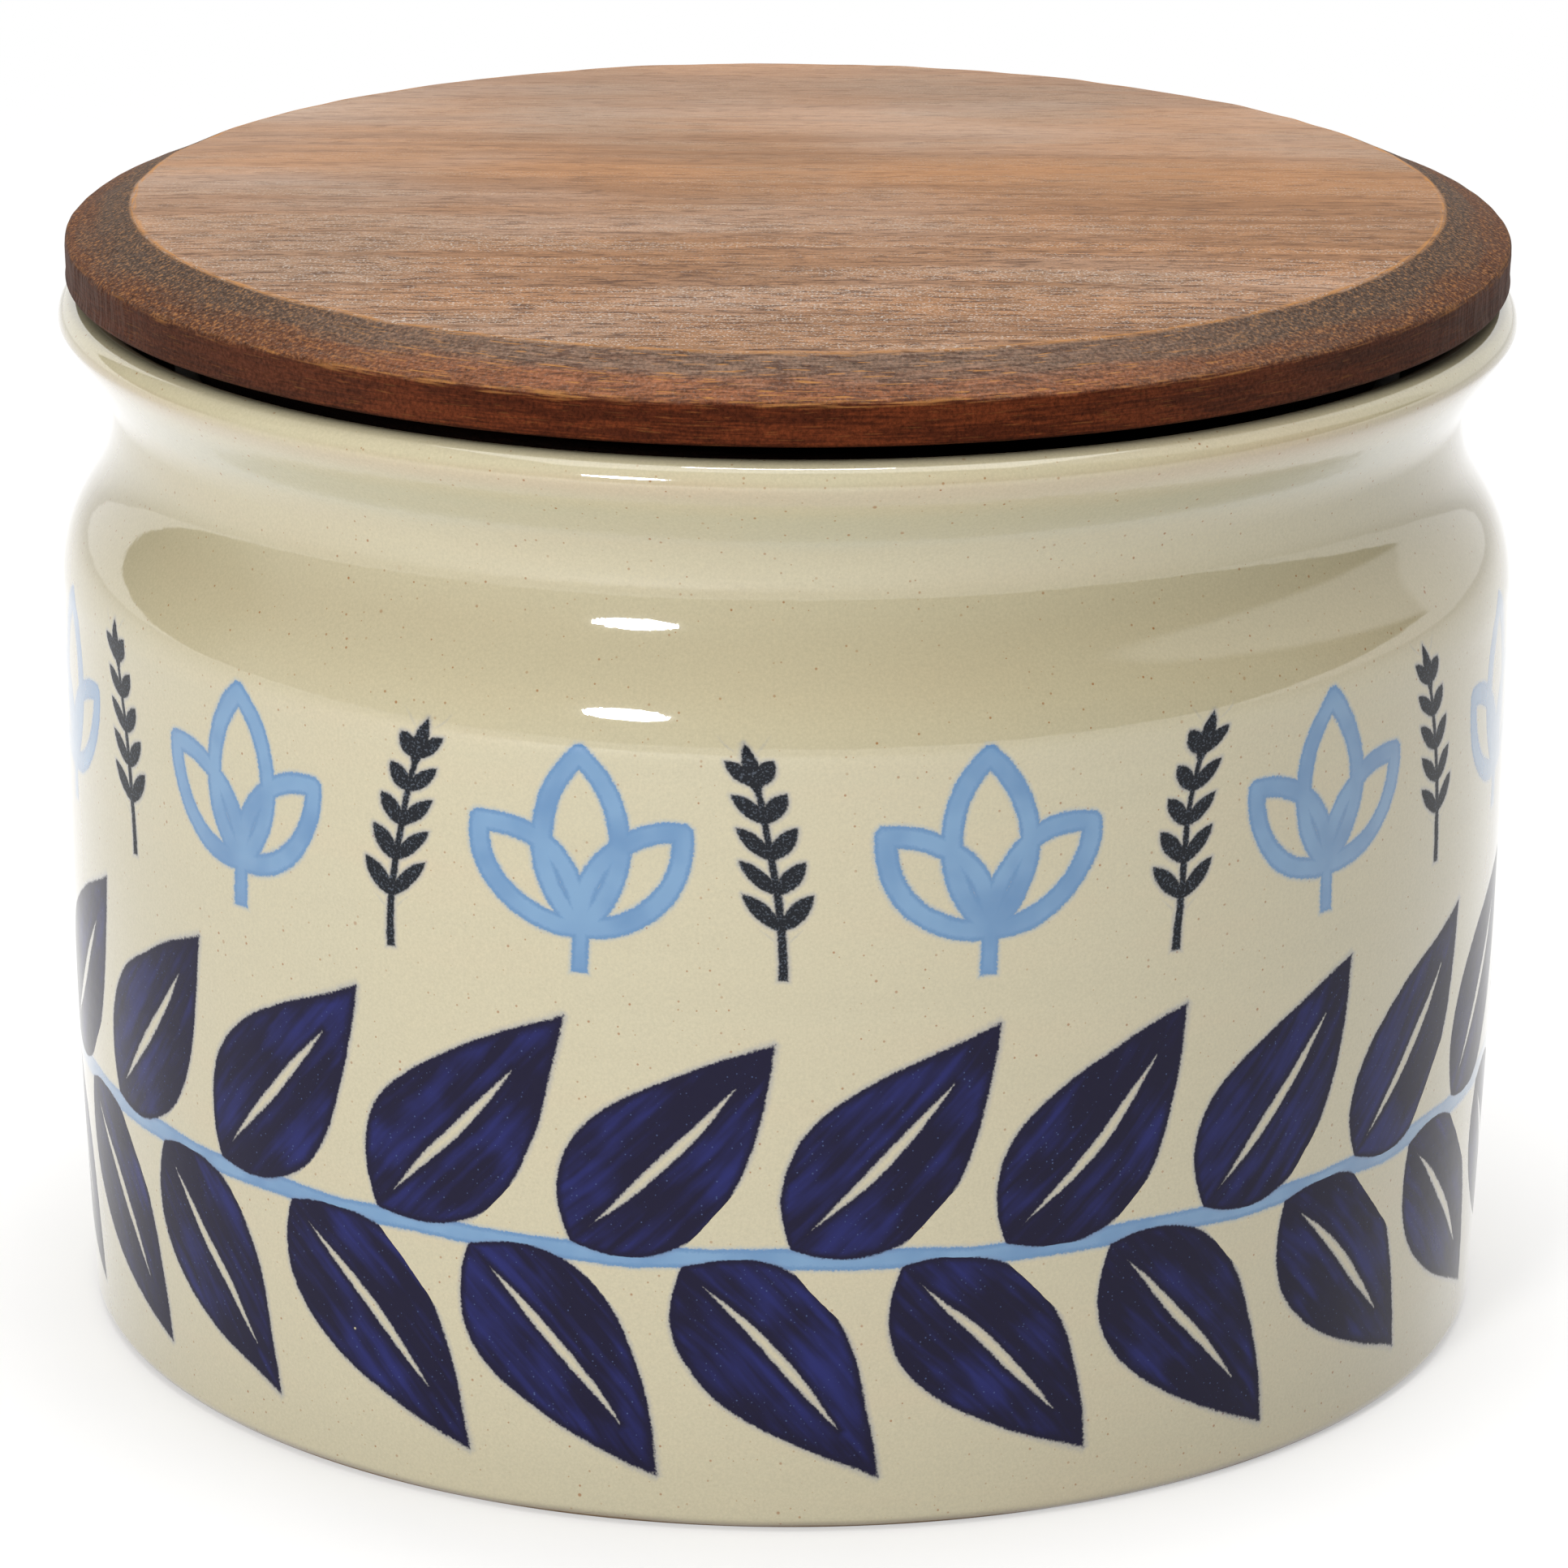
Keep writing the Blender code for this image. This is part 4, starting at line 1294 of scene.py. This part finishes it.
def floor_material(size):
    """A white floor that looks white to the camera and in gloss, and keeps the shadow."""
    material, tree, shader = new_material("White Floor")
    rays = add(tree, 'LightPath', {}, {})
    in_camera, in_gloss, in_glass = (Wire(tree, rays.outputs[f"Is {kind} Ray"])
                                     for kind in ("Camera", "Glossy", "Transmission"))
    seen = in_camera.at_least(in_gloss).at_least(in_glass)
    floor = mix(seen, size.floor_bounce, size.floor_colour)
    white = add(tree, 'Emission', {}, {"Color": WHITE, "Strength": 1.0})
    x, y, _ = split(object_place(tree))
    far = hypotenuse(x, y).step(*FAR_FLOOR_STEP) * in_camera
    blend = add(tree, 'MixShader', {}, {"Fac": (seen * size.floor_glow).at_least(far)})
    tree.links.new(shader.outputs["BSDF"], blend.inputs[1])
    tree.links.new(white.outputs["Emission"], blend.inputs[2])
    tree.links.new(blend.outputs["Shader"], tree.nodes["Material Output"].inputs["Surface"])
    fill(tree, shader, Base_Color=floor, Roughness=1.0, Specular_IOR_Level=0.0)
    return material


HORIZON_STEP = (0.0, -0.02)
LAMP_STEP = 0.02                # the lamp's hot middle hangs this far below the rest
RIGHT_WALL_EDGE = math.radians(2)
CEILING_STEP = (-0.35, 0.45)    # across the room, where 1 is straight to the right


def studio_world(size):
    """A dim room with dark sides in front of the jar, and a white backdrop behind it."""
    world = bpy.data.worlds.new("Studio")
    world.use_nodes = True
    bpy.context.scene.world = world
    tree = world.node_tree
    x, y, z = split(Wire(tree, add(tree, 'TexCoord', {}, {}).outputs["Generated"]))
    azimuth = x.math('ARCTAN2', y * -1)
    elevation = z.math('ARCSINE')

    front_wall = azimuth.step(size.front_wall_right, size.front_wall_right - size.front_wall_right_fade)
    left_end = size.front_wall_left
    front_wall = front_wall * azimuth.step(left_end, left_end + size.front_wall_left_fade)
    ceiling = elevation.step(size.ceiling_low, size.ceiling_high)
    ceiling = ceiling * (1 - x.step(*CEILING_STEP) * (1 - size.ceiling_right))
    wall_foot = (size.backdrop_right - azimuth) * size.right_wall_slope + size.right_wall_low
    above_foot = (elevation - wall_foot).step(-RIGHT_WALL_EDGE, RIGHT_WALL_EDGE)
    right_wall = azimuth.step(size.right_wall_start, size.right_wall_start + size.right_wall_fade)
    right_wall = right_wall * above_foot * size.right_wall
    room = (front_wall * size.front_wall).at_least(right_wall) + size.dark
    room = room.at_least(ceiling * size.ceiling + size.dark)

    leftwards = azimuth * -1
    lift_width = size.backdrop_left - size.table_left_start
    left_way = ((leftwards - size.table_left_start) / lift_width).at_least(0.0)
    table_edge = left_way * left_way * size.table_left_lift
    table_edge = table_edge + azimuth.step(size.table_right_start, size.backdrop_right) * size.right_wall_low
    half_edge = size.backdrop_edge / 2
    behind = azimuth.step(size.backdrop_right - half_edge, size.backdrop_right + half_edge)
    behind = behind.at_least(leftwards.step(size.backdrop_left - half_edge, size.backdrop_left + half_edge))
    in_camera = Wire(tree, add(tree, 'LightPath', {}, {}).outputs["Is Camera Ray"])
    white = behind.at_least((elevation - table_edge).step(*HORIZON_STEP)).at_least(in_camera)
    fill(tree, tree.nodes["Background"], Strength=room + white * (1 - room), Color=WHITE)


# Operators

SENSOR_WIDTH = 36.0             # in millimetres
CLIP_START = 0.01
WALL_OUTSIDE_SHARE = 0.9        # of the wall's thickness, to tell its outside from its inside
EDGE_REACH_SHARE = 1.05         # of the slope's width, to take in its upper round


def shared_groups():
    """The groups that several materials use, made once."""
    makers = {"round": ("Round The Axis", turning_group), "specks": ("Scattered Specks", specks_group),
              "paint": ("Brushed Paint", paint_group)}
    return {key: bpy.data.node_groups.get(name) or make() for key, (name, make) in makers.items()}


def dress(piece, material, body, node):
    """Give a finished piece its material and its place in the frame."""
    piece.data.materials.clear()
    piece.data.materials.append(material)
    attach(piece, body)
    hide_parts(node)


class JAR_OT_stage(bpy.types.Operator):
    """Add the camera, the floor, the room and the lamps"""
    bl_idname = "jar.stage"
    bl_label = "Stage"

    def execute(self, context):
        size = context.scene.jar_stage
        context.scene.view_settings.view_transform = 'Standard'
        deselect_all()

        bpy.ops.object.camera_add()
        camera = context.object
        camera.name = "Camera"
        back = Vector((0, -math.cos(size.camera_pitch), math.sin(size.camera_pitch))) * size.camera_distance
        camera.matrix_world = (Matrix.Translation(Vector((0, 0, size.aim_height)) + back)
                               @ Matrix.Rotation(math.pi / 2 - size.camera_pitch, 4, 'X')
                               @ Matrix.Rotation(size.camera_roll, 4, 'Z'))
        camera.data.sensor_width = SENSOR_WIDTH
        camera.data.lens = size.focal_length
        camera.data.shift_x = size.camera_shift
        camera.data.clip_start = CLIP_START
        context.scene.camera = camera

        bpy.ops.mesh.primitive_plane_add(size=size.floor_size, location=(0, 0, 0))
        floor = context.object
        floor.name = "Floor"
        floor.data.materials.append(floor_material(size))
        studio_world(size)

        key_way = Vector((math.sin(size.key_azimuth) * math.cos(size.key_elevation),
                          -math.cos(size.key_azimuth) * math.cos(size.key_elevation),
                          math.sin(size.key_elevation)))
        self.lamp(context, "Key", 'ELLIPSE', key_way * size.key_distance, key_way, size.key_width,
                  size.key_height, math.pi / 4 * size.key_width * size.key_height, size.key_brightness)
        up = Vector((0, 0, 1))
        for name, height, side, brightness in (("Top", size.top_height, size.top_side, size.top_brightness),
                                               ("Core", size.top_height - LAMP_STEP, size.core_side,
                                                size.core_brightness)):
            self.lamp(context, name, 'RECTANGLE', up * height, up, side, side, side ** 2, brightness)
        return {'FINISHED'}

    def lamp(self, context, name, shape, place, way, width, height, area, brightness):
        """An area lamp that faces back along its way, with its power from its brightness."""
        bpy.ops.object.light_add(type='AREA', location=place, rotation=way.to_track_quat('Z', 'Y').to_euler())
        lamp = context.object
        lamp.name = name
        lamp.data.shape = shape
        lamp.data.size = width
        lamp.data.size_y = height
        lamp.data.energy = brightness * math.pi * area


class JAR_OT_body(bpy.types.Operator):
    """Turn the stoneware body and paint it"""
    bl_idname = "jar.body"
    bl_label = "Stoneware Body"

    def execute(self, context):
        jar = context.scene.jar_body
        piece = turned("stoneware_body", jar_outline(jar), jar.turns)
        inner = jar.body_radius - jar.wall_thickness * WALL_OUTSIDE_SHARE

        def on_wall(place):
            return place.xy.length > inner and jar.foot_corner_radius < place.z < jar.wall_height

        press_in(piece, "Thrown unevenness", 'CLOUDS', jar.wave_length, jar.wave_depth, on_wall)
        smooth(piece)
        dress(piece, glaze_material(jar, shared_groups()), "jar", "jar_body")
        return {'FINISHED'}


class JAR_OT_lid(bpy.types.Operator):
    """Turn the wooden lid and wear its edge"""
    bl_idname = "jar.lid"
    bl_label = "Wooden Lid"

    def execute(self, context):
        jar, lid = context.scene.jar_body, context.scene.jar_lid
        piece = turned("wooden_lid", lid_outline(lid, jar), lid.turns)
        corner_foot = LID_HIGH.z - lid.thickness + lid.edge_lower_radius

        def on_edge(place):
            return place.xy.length > lid.radius - lid.bevel_width * EDGE_REACH_SHARE and place.z > corner_foot

        press_in(piece, "Edge knocks", 'CLOUDS', lid.wear_length, lid.wear_depth, on_edge)
        smooth(piece)
        dress(piece, wood_material(lid, shared_groups()), "lid", "lid")
        return {'FINISHED'}


class JAR_OT_seal(bpy.types.Operator):
    """Turn the soft ring round the lid's plug"""
    bl_idname = "jar.seal"
    bl_label = "Seal Ring"

    def execute(self, context):
        jar, lid, seal = context.scene.jar_body, context.scene.jar_lid, context.scene.jar_seal
        piece = turned("soft_seal", seal_outline(seal, jar, lid), seal.turns)
        smooth(piece)
        dress(piece, seal_material(seal, shared_groups()), "lid", "seal_ring")
        return {'FINISHED'}


class JAR_PT_sidebar(bpy.types.Panel):
    """The jar's pieces, sizes and colours"""
    bl_idname = "JAR_PT_sidebar"
    bl_label = "Storage Jar"
    bl_space_type = 'VIEW_3D'
    bl_region_type = 'UI'
    bl_category = "Jar"

    def draw(self, context):
        for label, operator, values in (("Stage", JAR_OT_stage, context.scene.jar_stage),
                                        ("Body", JAR_OT_body, context.scene.jar_body),
                                        ("Lid", JAR_OT_lid, context.scene.jar_lid),
                                        ("Seal", JAR_OT_seal, context.scene.jar_seal)):
            box = self.layout.box()
            box.label(text=label)
            box.operator(operator.bl_idname)
            for name in values.__annotations__:
                box.prop(values, name)


CLASSES = (StageSizes, JarSizes, LidSizes, SealSizes, JAR_OT_stage, JAR_OT_body, JAR_OT_lid, JAR_OT_seal,
           JAR_PT_sidebar)
SCENE_VALUES = {"jar_stage": StageSizes, "jar_body": JarSizes, "jar_lid": LidSizes, "jar_seal": SealSizes}


def register():
    for item in CLASSES:
        bpy.utils.register_class(item)
    for name, kind in SCENE_VALUES.items():
        setattr(bpy.types.Scene, name, PointerProperty(type=kind))


def unregister():
    for name in SCENE_VALUES:
        delattr(bpy.types.Scene, name)
    for item in reversed(CLASSES):
        bpy.utils.unregister_class(item)


def main():
    register()
    bpy.ops.jar.stage()
    bpy.ops.jar.body()
    bpy.ops.jar.lid()
    bpy.ops.jar.seal()


if __name__ == "__main__":
    main()
